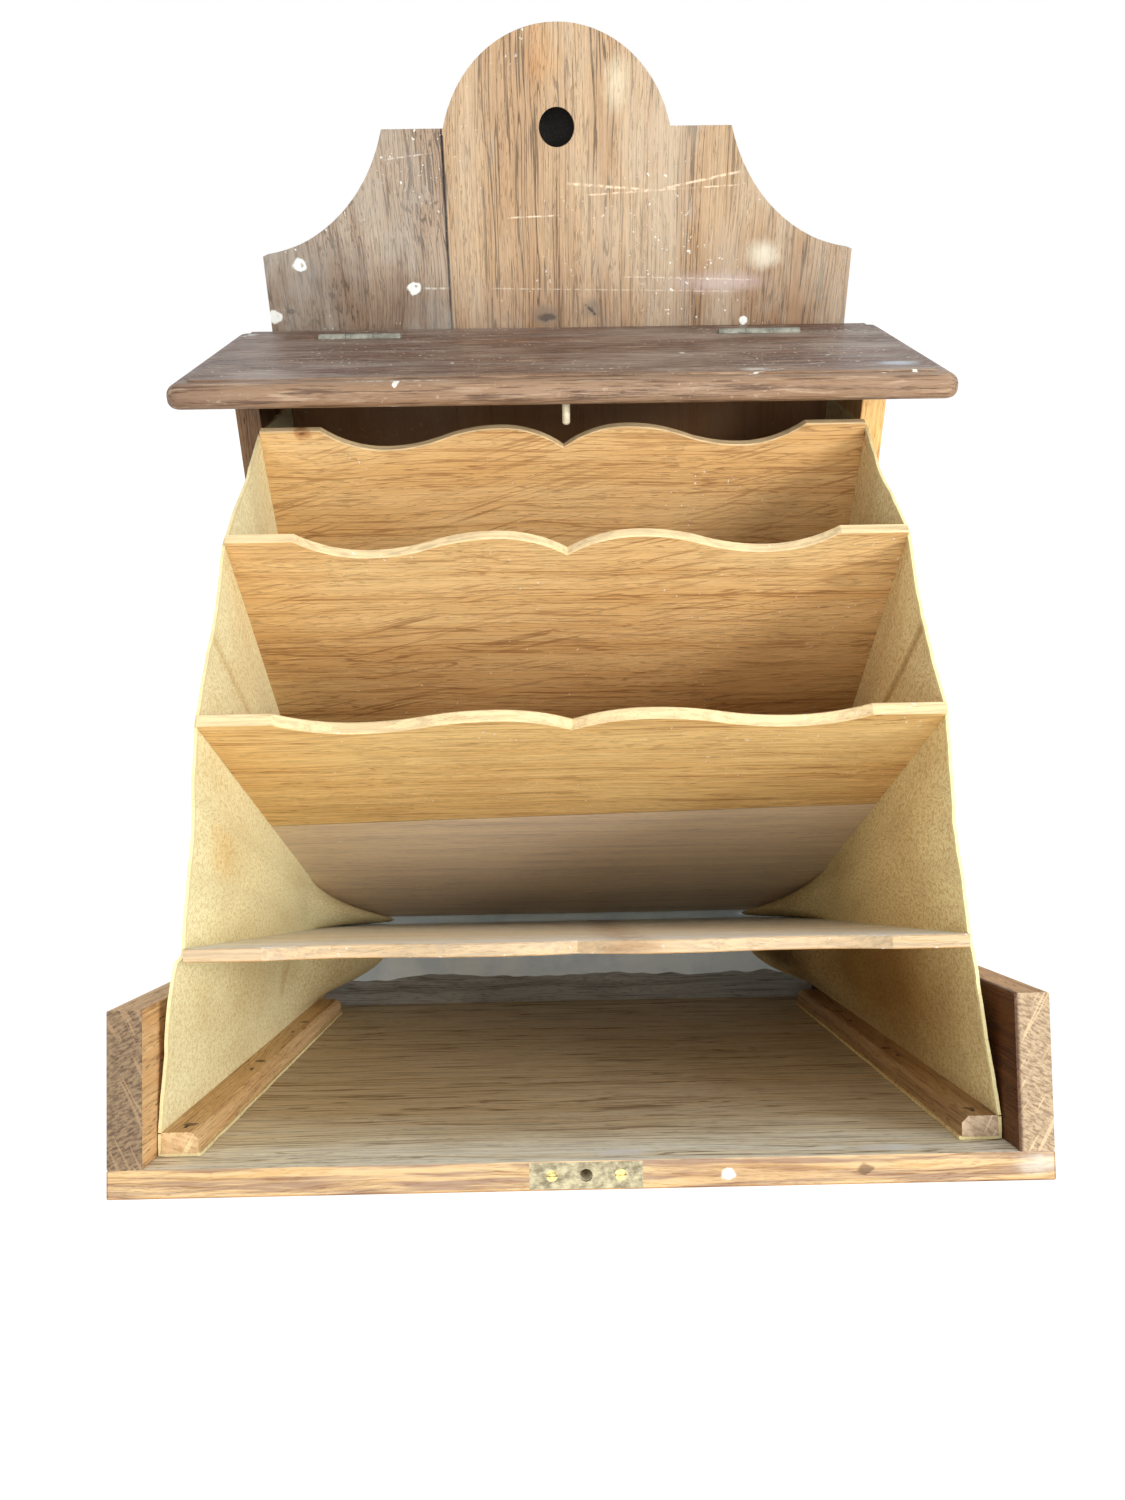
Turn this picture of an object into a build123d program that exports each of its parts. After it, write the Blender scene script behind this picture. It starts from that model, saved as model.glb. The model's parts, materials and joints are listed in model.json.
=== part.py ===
from build123d import *
import math
import os

# Wall-hung oak paper rack. The front half of the case drops forward and carries a fan of four
# dividers, hung between two concertina sides of thin leather. All sizes are in millimetres.
# The model is built on the bench: X to the right, Y back to the wall plane, Z up from the case's
# underside. It is written with its origin on the axis of the hanging hole, in the wall plane.
# The drop front and the dividers are drawn closed, about the hinge axis, and then leaned forward.

# Boards
CASE_WIDTH = 400.0
SIDE_HEIGHT = 403.0
SIDE_T = 15.0
BASE_T = 15.0
CASE_DEPTH = 85.0
FRONT_DEPTH = 79.0
FIT_GAP = 0.4
EDGE_ROUND = 0.8
# How far a cut runs past the face that it opens, and how near two places count as one.
CUT_PAST = 1.0
SAME_PLACE = 0.01

# Backboard
BACK_T = 15.0
REBATE = 5.0
COVE_HEIGHT = 71.0
SHOULDER_HEIGHT = 533.0
SHOULDER_HALF = 108.0
COVE_SAGITTA = 16.0
LOBE_RADIUS = 72.0
LOBE_DROP = 17.0
HOLE_RADIUS = 11.0
HOLE_RISE = 17.0
SEAM_X = -71.0
SEAM_GAP = 0.3

# Top strip and lid
TOP_T = 14.0
TOP_OVERHANG = 13.0
STRIP_DEPTH = 36.0
LID_DEPTH = 140.0
LID_JOINT_GAP = 0.8
FIELD_RISE = 0.9
FIELD_INSET = 11.0
FIELD_BACK_INSET = 5.5
NOSE_TOP = 6.5
NOSE_UNDER = 4.5
CORNER_ROUND = 8.0

# Drop front
PANEL_T = 12.0
LID_CLEARANCE = 1.0
OPEN_LEAN = 58.5
BATTEN_WIDTH = 16.0
BATTEN_T = 9.0
BATTEN_START = 50.0
BATTEN_END_GAP = 17.0
BATTEN_SIDE_GAP = 2.2
BATTEN_BEVEL = 3.0
BATTEN_NAIL_SHARES = (0.352, 0.645, 0.973)

# Catch
PLATE_LENGTH = 48.0
PLATE_WIDTH = 11.0
PLATE_T = 1.5
PLATE_X = 1.4
PLATE_SCREW_REACH = 14.5
PIN_RADIUS = 2.2
PIN_LENGTH = 14.0
PIN_ROOT = 9.0
PIN_TIP_BEVEL = 1.0
PIN_HOLE_CLEARANCE = 0.45
PIN_BORE_EXTRA = 2.0

# Butt hinges
HINGE_LENGTH = 52.0
LID_HINGE_X = 127.0
DROP_HINGE_X = 120.0
LEAF_T = 1.5
LEAF_WIDTH = 12.0
LEAF_GAP = 0.15
KNUCKLE_RADIUS = 2.6
KNUCKLE_COUNT = 3
KNUCKLE_END_GAP = 0.15
KNUCKLE_CLEARANCE = 0.35
HINGE_PIN_RADIUS = 1.2
HINGE_PIN_CLEARANCE = 0.05
HINGE_PIN_HEAD = 0.4
HINGE_SCREW_REACH = 16.0
HINGE_SCREW_PLACE = 7.2
# Small round work has flats: more where it is seen, few where it is hidden.
SEEN_FLATS = 20
HIDDEN_FLATS = 10

# Screws and nails
SCREW_HEAD_RADIUS = 2.4
SCREW_HEAD_T = 1.4
SCREW_SHANK_RADIUS = 1.2
HINGE_SCREW_LENGTH = 11.0
PLATE_SCREW_LENGTH = 14.0
SLOT_WIDTH = 0.7
SLOT_DEPTH = 0.6
NAIL_T = 1.6
NAIL_TIP_T = 0.8
NAIL_HEAD_LENGTH = 4.2
NAIL_HEAD_T = 1.0
NAIL_LENGTH = 32.0
NAIL_INSET = 20.0
NAIL_COUNT = 4
BASE_NAIL_SHARES = (0.2, 0.5, 0.8)
RAIL_NAIL_SHARES = (0.25, 0.6)
BATTEN_NAIL_LENGTH = 18.0
FASTENER_FIT = 0.04

# Dividers
DIVIDER_COUNT = 4
DIVIDER_T = 6.0
DIVIDER_SIDE_GAP = 13.0
DIVIDER_FOOT = 17.5
DIVIDER_HEADROOM = 14.0
DIVIDER_PITCH = 7.0
FIRST_OPEN_LEAN = 10.0
NEXT_LEAN = 14.65
CREST_X = 36.0
CUSP_DEPTH = 12.0
TROUGH_X = 102.0
TROUGH_DEPTH = 12.0
HORN_X = 138.0
DIVIDER_EDGE_BEVEL = 0.6

# Leather and lining
LEATHER_T = 1.2
LEATHER_GAP = 0.3
LEATHER_FIT = 0.2
LEATHER_FOOT = 22.0
FLAP_DROP = 18.0
WEB_DROP = 13.0
DOOR_WEB_DROP = 11.0
WEB_SAG = 6.0
WEB_BULGE = 2.5
LINING_T = 0.8
LINING_SIDE_GAP = 17.5
LINING_BACK = 42.0
LINING_FRONT = 51.0

# Places that follow from the sizes above
HALF_WIDTH = CASE_WIDTH / 2
SIDE_INNER = HALF_WIDTH - SIDE_T
JOINT_Y = -(BACK_T + CASE_DEPTH)
COVE_FOOT_HEIGHT = SHOULDER_HEIGHT - COVE_HEIGHT
LOBE_CENTRE_HEIGHT = SHOULDER_HEIGHT - LOBE_DROP
HOLE_HEIGHT = LOBE_CENTRE_HEIGHT + HOLE_RISE
DIVIDER_HALF = SIDE_INNER - DIVIDER_SIDE_GAP
LINING_HALF = SIDE_INNER - LINING_SIDE_GAP
PANEL_HEIGHT = SIDE_HEIGHT - LID_CLEARANCE
DIVIDER_TOP = SIDE_HEIGHT - DIVIDER_HEADROOM
BACK_HALF = SIDE_INNER + REBATE
TOP_HEIGHT = SIDE_HEIGHT + TOP_T
TOP_HALF = HALF_WIDTH + TOP_OVERHANG
LID_JOINT_Y = -(BACK_T + STRIP_DEPTH)
PANEL_INNER = FRONT_DEPTH - PANEL_T
KNUCKLE_ROOM = KNUCKLE_RADIUS + KNUCKLE_CLEARANCE
BATTEN_OUTER = SIDE_INNER - BATTEN_SIDE_GAP
BATTEN_INNER = BATTEN_OUTER - BATTEN_WIDTH
BATTEN_SEAT = PANEL_INNER - LEATHER_T - 2 * LEATHER_FIT
BATTEN_END = PANEL_HEIGHT - BATTEN_END_GAP
CATCH_REACH = PANEL_INNER + PANEL_T / 2
FLAP_TOP = DIVIDER_TOP - FLAP_DROP
WEB_TOP = DIVIDER_TOP - WEB_DROP
DOOR_WEB_TOP = PANEL_HEIGHT - DOOR_WEB_DROP


def board(x0, x1, y0, y1, z0, z1):
    """A straight board between two opposite corners."""
    return Pos((x0 + x1) / 2, (y0 + y1) / 2, (z0 + z1) / 2) * Box(x1 - x0, y1 - y0, z1 - z0)


def eased_board(x0, x1, y0, y1, z0, z1):
    """A board whose long arrises are lightly rounded, as by hand and wear."""
    plain = board(x0, x1, y0, y1, z0, z1)
    longest = max((x1 - x0, Axis.X), (y1 - y0, Axis.Y), (z1 - z0, Axis.Z), key=lambda pair: pair[0])[1]
    return fillet(plain.edges().filter_by(longest), EDGE_ROUND)


def rod(radius, start, length, direction, flats=None):
    """A rod from a start point along a direction: round, or with a few flats about that round."""
    section = RegularPolygon(radius, flats, major_radius=False) if flats else Circle(radius)
    return extrude(Plane(start, z_dir=direction) * section, length)


def wood_screw(start, direction, length, clearance=0.0, flats=HIDDEN_FLATS, slotted=False):
    """A countersunk screw, or with a clearance the hole that takes it. The start is the head's centre."""
    head = SCREW_HEAD_RADIUS + clearance
    shank = SCREW_SHANK_RADIUS + clearance
    neck = SCREW_HEAD_T + clearance
    body = loft([RegularPolygon(head, flats, major_radius=False),
                 Pos(0, 0, neck) * RegularPolygon(shank, flats, major_radius=False)])
    body += rod(shank, (0, 0, neck), length - SCREW_HEAD_T, (0, 0, 1), flats)
    if slotted:
        body -= board(-head - CUT_PAST, head + CUT_PAST, -SLOT_WIDTH / 2, SLOT_WIDTH / 2, -CUT_PAST,
                      SLOT_DEPTH)
    return Plane(start, z_dir=direction) * body


def cut_nail(start, direction, length, clearance=0.0):
    """A cut brad driven flush: square, tapered, with an oblong head. With a clearance, its hole."""
    grain = (0, 0, 1) if direction[2] == 0 else (1, 0, 0)
    seat = Plane(start, x_dir=grain, z_dir=direction)
    width = NAIL_T + 2 * clearance
    tip = NAIL_TIP_T + 2 * clearance
    end = length + clearance
    head = extrude(seat * Rectangle(NAIL_HEAD_LENGTH + 2 * clearance, width), NAIL_HEAD_T + clearance)
    shank = loft([seat * Rectangle(width, width), seat * Pos(0, 0, end) * Rectangle(tip, tip)])
    return head + shank


def butt_leaf(centre, up, back, fixed):
    """One leaf of a butt hinge: the plate let into an edge, with its own knuckles round the pin.

    The pin lies along X through the centre, the leaf stands up (+1) or down (-1) from it, and the
    leaf faces back (+1) or front (-1).
    """
    near = LEAF_GAP * back
    far = (LEAF_GAP + LEAF_T) * back
    leaf = board(-HINGE_LENGTH / 2, HINGE_LENGTH / 2, min(near, far), max(near, far),
                 min(0, LEAF_WIDTH * up), max(0, LEAF_WIDTH * up))
    pitch = HINGE_LENGTH / KNUCKLE_COUNT
    for index in range(KNUCKLE_COUNT):
        start = -HINGE_LENGTH / 2 + index * pitch
        if (index % 2 == 0) == fixed:
            width = pitch - 2 * KNUCKLE_END_GAP
            leaf += rod(KNUCKLE_RADIUS, (start + KNUCKLE_END_GAP, 0, 0), width, (1, 0, 0), SEEN_FLATS)
        else:
            leaf -= board(start, start + pitch, -KNUCKLE_ROOM, KNUCKLE_ROOM, -KNUCKLE_ROOM, KNUCKLE_ROOM)
    leaf -= rod(HINGE_PIN_RADIUS + HINGE_PIN_CLEARANCE, (-HINGE_LENGTH, 0, 0), 2 * HINGE_LENGTH, (1, 0, 0),
                HIDDEN_FLATS)
    for screw_x in (-HINGE_SCREW_REACH, HINGE_SCREW_REACH):
        leaf -= wood_screw((screw_x, near, HINGE_SCREW_PLACE * up), (0, back, 0), HINGE_SCREW_LENGTH,
                           FASTENER_FIT)
    return Pos(*centre) * leaf


def hinge_pocket(centre, up, back):
    """What a board's edge loses to a hinge: the leaf's bed, the groove for the knuckles, the screw holes."""
    face = -FIT_GAP * back
    bed = (LEAF_GAP + LEAF_T) * back
    pocket = board(-HINGE_LENGTH / 2, HINGE_LENGTH / 2, min(face, bed), max(face, bed),
                   min(-FIT_GAP * up, LEAF_WIDTH * up), max(-FIT_GAP * up, LEAF_WIDTH * up))
    pocket += board(-HINGE_LENGTH / 2 - FIT_GAP, HINGE_LENGTH / 2 + FIT_GAP, -KNUCKLE_ROOM, KNUCKLE_ROOM,
                    -KNUCKLE_ROOM, KNUCKLE_ROOM)
    for screw_x in (-HINGE_SCREW_REACH, HINGE_SCREW_REACH):
        pocket += wood_screw((screw_x, LEAF_GAP * back, HINGE_SCREW_PLACE * up), (0, back, 0),
                             HINGE_SCREW_LENGTH, FASTENER_FIT)
    return Pos(*centre) * pocket


def hinge_screws(centre, up, back):
    """The two screws of one leaf."""
    return [Pos(*centre) * wood_screw((screw_x, LEAF_GAP * back, HINGE_SCREW_PLACE * up), (0, back, 0),
                                      HINGE_SCREW_LENGTH)
            for screw_x in (-HINGE_SCREW_REACH, HINGE_SCREW_REACH)]


def hinge_pin(centre):
    """The pin of a butt hinge, its ends just proud of the knuckles."""
    reach = HINGE_LENGTH / 2 + HINGE_PIN_HEAD
    flat_radius = HINGE_PIN_RADIUS * math.cos(math.pi / HIDDEN_FLATS)
    return Pos(*centre) * rod(flat_radius, (-reach, 0, 0), 2 * reach, (1, 0, 0), HIDDEN_FLATS)


LID_HINGES = [(side * LID_HINGE_X, LID_JOINT_Y, TOP_HEIGHT) for side in (-1, 1)]
DROP_HINGES = [(side * DROP_HINGE_X, 0, 0) for side in (-1, 1)]
CASE_DROP_HINGES = [(x, JOINT_Y, 0) for x, _, _ in DROP_HINGES]


def leaned(shape, angle):
    """Turns what is drawn about the hinge axis forward by an angle, and sets it on the case."""
    return Pos(0, JOINT_Y, 0) * Rot(angle, 0, 0) * shape


def open_lean(index):
    """How far a divider leans forward when the rack is open, in degrees."""
    return FIRST_OPEN_LEAN + index * NEXT_LEAN


def divider_offset(index):
    """How far behind the hinge axis a divider's middle plane passes."""
    return DIVIDER_PITCH * ((DIVIDER_COUNT - 1) / 2 - index)


# Case

def backboard():
    """The whole backboard: coved shoulders, a round lobe and the hanging hole."""
    lobe_half = math.sqrt(LOBE_RADIUS**2 - LOBE_DROP**2)
    outline = [Line((-BACK_HALF, 0), (-BACK_HALF, COVE_FOOT_HEIGHT)),
               SagittaArc((-BACK_HALF, COVE_FOOT_HEIGHT), (-SHOULDER_HALF, SHOULDER_HEIGHT), -COVE_SAGITTA),
               Line((-SHOULDER_HALF, SHOULDER_HEIGHT), (-lobe_half, SHOULDER_HEIGHT)),
               ThreePointArc((-lobe_half, SHOULDER_HEIGHT), (0, LOBE_CENTRE_HEIGHT + LOBE_RADIUS),
                             (lobe_half, SHOULDER_HEIGHT)),
               Line((lobe_half, SHOULDER_HEIGHT), (SHOULDER_HALF, SHOULDER_HEIGHT)),
               SagittaArc((SHOULDER_HALF, SHOULDER_HEIGHT), (BACK_HALF, COVE_FOOT_HEIGHT), -COVE_SAGITTA),
               Line((BACK_HALF, COVE_FOOT_HEIGHT), (BACK_HALF, 0)),
               Line((BACK_HALF, 0), (-BACK_HALF, 0))]
    blank = extrude(Plane.XZ * make_face(outline), BACK_T)
    blank -= rod(HOLE_RADIUS, (0, CUT_PAST, HOLE_HEIGHT), BACK_T + 2 * CUT_PAST, (0, -1, 0))
    for start, direction in backboard_nail_places():
        blank -= cut_nail(start, direction, NAIL_LENGTH, FASTENER_FIT)
    return blank


def backboard_part(x0, x1):
    """The stretch of the backboard between two upright cuts."""
    return backboard() & board(x0, x1, -BACK_T - CUT_PAST, CUT_PAST, -CUT_PAST,
                               LOBE_CENTRE_HEIGHT + LOBE_RADIUS + CUT_PAST)


def backboard_nail_places():
    """Nails through the backboard's edges, into the shoulders of the side rebates, and into the base."""
    places = []
    for side in (-1, 1):
        for index in range(NAIL_COUNT):
            height = NAIL_INSET + index * (SIDE_HEIGHT - 2 * NAIL_INSET) / (NAIL_COUNT - 1)
            places.append(((side * (SIDE_INNER + REBATE / 2), 0, height), (0, -1, 0)))
    for x in (SEAM_X - NAIL_INSET, SEAM_X + NAIL_INSET, SIDE_INNER - 3 * NAIL_INSET):
        places.append(((x, 0, BASE_T / 2), (0, -1, 0)))
    return places


def base_nail_places():
    """Nails through the case sides into the ends of the base board."""
    return [((side * HALF_WIDTH, -BACK_T - step * CASE_DEPTH, BASE_T / 2), (-side, 0, 0))
            for side in (-1, 1) for step in BASE_NAIL_SHARES]


def case_side(side):
    """A side of the case's rear half, rebated at the back for the backboard."""
    x0, x1 = sorted((side * SIDE_INNER, side * HALF_WIDTH))
    plank = eased_board(x0, x1, JOINT_Y + FIT_GAP, 0, 0, SIDE_HEIGHT)
    x0, x1 = sorted((side * (SIDE_INNER - CUT_PAST), side * BACK_HALF))
    plank -= board(x0, x1, -BACK_T, CUT_PAST, -CUT_PAST, SIDE_HEIGHT + CUT_PAST)
    for start, direction in backboard_nail_places() + base_nail_places():
        if start[0] * side > 0:
            plank -= cut_nail(start, direction, NAIL_LENGTH, FASTENER_FIT)
    return plank


def base_board():
    """The bottom of the rear half, between the sides and against the backboard."""
    plank = board(-SIDE_INNER, SIDE_INNER, JOINT_Y + FIT_GAP, -BACK_T, 0, BASE_T)
    for centre in CASE_DROP_HINGES:
        plank -= hinge_pocket(centre, 1, 1)
    for start, direction in backboard_nail_places() + base_nail_places():
        plank -= cut_nail(start, direction, NAIL_LENGTH, FASTENER_FIT)
    return plank


def nosed_slab(y_front, y_back, nosed_edges):
    """A top board between the nosed ends, with a thin raised field inside the moulding."""
    slab = board(-TOP_HALF, TOP_HALF, y_front, y_back, SIDE_HEIGHT, TOP_HEIGHT - FIELD_RISE)
    front_nosed = "front" in nosed_edges
    corners = slab.edges().filter_by(Axis.Z).sort_by(Axis.Y)
    slab = fillet(corners[:2] if front_nosed else corners[2:], CORNER_ROUND)

    def rim(face):
        """The edges of a face that carry the nosing, the corner arcs included."""
        edge_y = y_back if front_nosed else y_front
        return [edge for edge in face.edges() if abs(edge.center().Y - edge_y) > SAME_PLACE]

    slab = fillet(rim(slab.faces().sort_by(Axis.Z)[-1]), NOSE_TOP)
    slab = fillet(rim(slab.faces().sort_by(Axis.Z)[0]), NOSE_UNDER)
    inset_front = FIELD_INSET if front_nosed else 0
    inset_back = 0 if front_nosed else FIELD_BACK_INSET
    return slab + board(-TOP_HALF + FIELD_INSET, TOP_HALF - FIELD_INSET, y_front + inset_front,
                        y_back - inset_back, TOP_HEIGHT - FIELD_RISE - CUT_PAST, TOP_HEIGHT)


def top_strip():
    """The fixed strip along the backboard that carries the lid's hinges."""
    strip = nosed_slab(LID_JOINT_Y + LID_JOINT_GAP / 2, -BACK_T, "back")
    for centre in LID_HINGES:
        strip -= hinge_pocket(centre, -1, 1)
    return strip


def lid():
    """The lid, moulded on its front and ends, bored for the catch pin."""
    slab = nosed_slab(LID_JOINT_Y - LID_DEPTH, LID_JOINT_Y - LID_JOINT_GAP / 2, "front")
    for centre in LID_HINGES:
        slab -= hinge_pocket(centre, -1, -1)
    return slab - rod(PIN_RADIUS + FASTENER_FIT, (PLATE_X, JOINT_Y - CATCH_REACH, SIDE_HEIGHT - CUT_PAST),
                      PIN_ROOT + CUT_PAST, (0, 0, 1))


def catch_pin():
    """The pin under the lid that drops into the catch plate, bevelled at its tip."""
    pin = rod(PIN_RADIUS, (PLATE_X, JOINT_Y - CATCH_REACH, SIDE_HEIGHT - PIN_LENGTH), PIN_LENGTH + PIN_ROOT,
              (0, 0, 1))
    return chamfer(pin.edges().group_by(Axis.Z)[0], PIN_TIP_BEVEL)


# Drop front, drawn closed about the hinge axis

def drop_panel():
    """The outer panel, with the bed of the catch plate and the bore for the pin in its top edge."""
    panel = eased_board(-HALF_WIDTH, HALF_WIDTH, -FRONT_DEPTH, -PANEL_INNER, 0, PANEL_HEIGHT)
    panel -= board(PLATE_X - PLATE_LENGTH / 2, PLATE_X + PLATE_LENGTH / 2, -CATCH_REACH - PLATE_WIDTH / 2,
                   -CATCH_REACH + PLATE_WIDTH / 2, PANEL_HEIGHT - PLATE_T, PANEL_HEIGHT + CUT_PAST)
    bore_start = (PLATE_X, -CATCH_REACH, PANEL_HEIGHT)
    panel -= rod(PIN_RADIUS + PIN_HOLE_CLEARANCE, bore_start, PIN_LENGTH + PIN_BORE_EXTRA, (0, 0, -1),
                 SEEN_FLATS)
    for start, direction in plate_screw_places():
        panel -= wood_screw(start, direction, PLATE_SCREW_LENGTH, FASTENER_FIT, SEEN_FLATS)
    for start, direction in panel_nail_places():
        panel -= cut_nail(start, direction, NAIL_LENGTH, FASTENER_FIT)
    for side in (-1, 1):
        for start, direction in batten_nail_places(side):
            panel -= cut_nail(start, direction, BATTEN_NAIL_LENGTH, FASTENER_FIT)
    return panel


def cheek(side):
    """A side of the drop front, nailed behind the panel."""
    x0, x1 = sorted((side * SIDE_INNER, side * HALF_WIDTH))
    plank = eased_board(x0, x1, -PANEL_INNER, -FIT_GAP, 0, PANEL_HEIGHT)
    for start, direction in panel_nail_places() + rail_nail_places():
        if start[0] * side > 0:
            plank -= cut_nail(start, direction, NAIL_LENGTH, FASTENER_FIT)
    return plank


def bottom_rail():
    """The bottom of the drop front, between the cheeks, let in for the moving hinge leaves."""
    rail = board(-SIDE_INNER, SIDE_INNER, -PANEL_INNER, -FIT_GAP, 0, BASE_T)
    for centre in DROP_HINGES:
        rail -= hinge_pocket(centre, 1, -1)
    for start, direction in panel_nail_places() + rail_nail_places():
        rail -= cut_nail(start, direction, NAIL_LENGTH, FASTENER_FIT)
    return rail


def panel_nail_places():
    """Nails through the panel into the cheeks and the rail."""
    places = []
    for side in (-1, 1):
        for index in range(NAIL_COUNT):
            height = 2 * NAIL_INSET + index * (PANEL_HEIGHT - 3 * NAIL_INSET) / (NAIL_COUNT - 1)
            places.append(((side * (HALF_WIDTH - SIDE_T / 2), -FRONT_DEPTH, height), (0, 1, 0)))
    for x in (-SIDE_INNER / 2, 0, SIDE_INNER / 2):
        places.append(((x, -FRONT_DEPTH, BASE_T / 2), (0, 1, 0)))
    return places


def rail_nail_places():
    """Nails through the cheeks into the ends of the rail."""
    return [((side * HALF_WIDTH, -step * PANEL_INNER, BASE_T / 2), (-side, 0, 0))
            for side in (-1, 1) for step in RAIL_NAIL_SHARES]


def batten(side):
    """The batten that clamps the leather's flange to the panel, bevelled on its inner arris."""
    x0, x1 = sorted((side * BATTEN_INNER, side * BATTEN_OUTER))
    strip = board(x0, x1, -BATTEN_SEAT, -(BATTEN_SEAT - BATTEN_T), BATTEN_START, BATTEN_END)
    inner = strip.edges().filter_by(Axis.Z).sort_by(Axis.Y)[2:].sort_by(Axis.X)[0 if side > 0 else -1]
    strip = chamfer(inner, BATTEN_BEVEL)
    for start, direction in batten_nail_places(side):
        strip -= cut_nail(start, direction, BATTEN_NAIL_LENGTH, FASTENER_FIT)
    return strip


def batten_nail_places(side):
    """Nails through a batten into the panel."""
    return [((side * (BATTEN_INNER + BATTEN_OUTER) / 2, -(BATTEN_SEAT - BATTEN_T),
              BATTEN_START + share * (BATTEN_END - BATTEN_START)), (0, -1, 0))
            for share in BATTEN_NAIL_SHARES]


def plate_screw_places():
    """The catch plate's two screws, into the panel's top edge."""
    return [((PLATE_X + side * PLATE_SCREW_REACH, -CATCH_REACH, PANEL_HEIGHT), (0, 0, -1))
            for side in (-1, 1)]


def plate_screw(start, direction):
    """One of the catch plate's screws, its slot turned as it came to rest."""
    return wood_screw(start, direction, PLATE_SCREW_LENGTH, flats=SEEN_FLATS, slotted=True)


def catch_plate():
    """The flush plate that takes the catch pin."""
    plate = board(PLATE_X - PLATE_LENGTH / 2, PLATE_X + PLATE_LENGTH / 2, -CATCH_REACH - PLATE_WIDTH / 2,
                  -CATCH_REACH + PLATE_WIDTH / 2, PANEL_HEIGHT - PLATE_T, PANEL_HEIGHT)
    plate -= rod(PIN_RADIUS + PIN_HOLE_CLEARANCE, (PLATE_X, -CATCH_REACH, PANEL_HEIGHT + CUT_PAST),
                 PLATE_T + 2 * CUT_PAST, (0, 0, -1), SEEN_FLATS)
    for start, direction in plate_screw_places():
        plate -= wood_screw(start, direction, PLATE_SCREW_LENGTH, FASTENER_FIT, SEEN_FLATS)
    return plate


# Dividers, drawn closed about the hinge axis

def divider(index):
    """A thin divider with a serpentine top: two crests with a cusp between them, then a trough each side."""
    half = DIVIDER_HALF
    crest = DIVIDER_TOP
    trough = DIVIDER_TOP - TROUGH_DEPTH
    # The curve from crest to trough is two equal arcs that meet in tangent, half way.
    inflexion = ((CREST_X + TROUGH_X) / 2, (crest + trough) / 2)
    right = [Line((half, DIVIDER_FOOT), (half, crest)),
             Line((half, crest), (HORN_X, crest)),
             TangentArc((TROUGH_X, trough), (HORN_X, crest), tangent=(1, 0)),
             TangentArc((TROUGH_X, trough), inflexion, tangent=(-1, 0)),
             TangentArc((CREST_X, crest), inflexion, tangent=(1, 0)),
             TangentArc((CREST_X, crest), (0, crest - CUSP_DEPTH), tangent=(-1, 0))]
    left = [mirror(edge, Plane.YZ) for edge in right]
    outline = right + left + [Line((-half, DIVIDER_FOOT), (half, DIVIDER_FOOT))]
    blank = extrude(Plane.XZ * make_face(outline), DIVIDER_T / 2, both=True)
    top_edges = [edge for face in (blank.faces().sort_by(Axis.Y)[0], blank.faces().sort_by(Axis.Y)[-1])
                 for edge in face.edges() if edge.center().Z > trough - CUT_PAST]
    return Pos(0, divider_offset(index), 0) * chamfer(top_edges, DIVIDER_EDGE_BEVEL)


# Leather and lining, in the open shape

def web_line(x, offset_y, lean, top):
    """The two ends of a line up a leather side, from its foot to its top edge."""
    return [leaned(Pos(x, offset_y, height), lean).position for height in (LEATHER_FOOT, top)]


def folded_sheet(lines, thickness):
    """A closed sheet through a row of lines, folded flat between them, its thickness along X."""
    walls = [[(foot + Vector(shift, 0, 0), top + Vector(shift, 0, 0)) for foot, top in lines]
             for shift in (-thickness / 2, thickness / 2)]
    facets = []

    def strip(first, second):
        """Two facets between each pair of neighbouring points of two equal rows."""
        for a, b, c, d in zip(first, first[1:], second[1:], second):
            facets.extend([(a, b, c), (a, c, d)])

    for wall in walls:
        strip([foot for foot, _ in wall], [top for _, top in wall])
    for end in (0, 1):
        strip([line[end] for line in walls[0]], [line[end] for line in walls[1]])
    for place in (0, -1):
        (a, b), (d, c) = walls[0][place], walls[1][place]
        facets.append((a, b, c, d))
    return Solid(Shell([Face(Wire.make_polygon(corners)) for corners in facets]))


def gusset(side):
    """A concertina side: a flap glued to the case side, five webs, and an edge let in by the batten."""
    glued = side * (SIDE_INNER - LEATHER_FIT - LEATHER_T / 2)
    hung = side * (DIVIDER_HALF + LEATHER_GAP + LEATHER_T / 2)
    lines = [web_line(glued, CASE_DEPTH - LEATHER_T, 0, FLAP_TOP), web_line(glued, 2 * FIT_GAP, 0, FLAP_TOP)]
    for index in range(DIVIDER_COUNT):
        lines.append(web_line(hung, divider_offset(index), open_lean(index), WEB_TOP))
        if index < DIVIDER_COUNT - 1:
            between = index + 0.5
            lines.append(web_line(hung + side * WEB_BULGE, divider_offset(between), open_lean(between),
                                  WEB_TOP - WEB_SAG))
    for reach in (BATTEN_SEAT - BATTEN_T, PANEL_INNER - LEATHER_FIT):
        lines.append(web_line(glued, -reach, OPEN_LEAN, DOOR_WEB_TOP))
    return folded_sheet(lines, LEATHER_T)


def bottom_lining():
    """A strip of cloth glued over the joint between the base board and the drop front's rail."""
    turn = math.radians(OPEN_LEAN)
    lift = BASE_T + LEATHER_GAP

    def on_rail(reach):
        """A point above the rail, in the case's own directions."""
        return (-reach * math.cos(turn) - lift * math.sin(turn),
                -reach * math.sin(turn) + lift * math.cos(turn))

    spine = Polyline((LINING_BACK, BASE_T), (FIT_GAP, BASE_T), on_rail(FIT_GAP), on_rail(LINING_FRONT))
    strip = Plane.YZ * trace_up(spine)
    return Pos(0, JOINT_Y, 0) * extrude(strip, LINING_HALF, both=True)


def trace_up(spine):
    """The face between a bent line and its copy one cloth thickness above."""
    raised = offset(spine, LINING_T, side=Side.RIGHT, closed=True)
    return make_face(raised)


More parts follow.
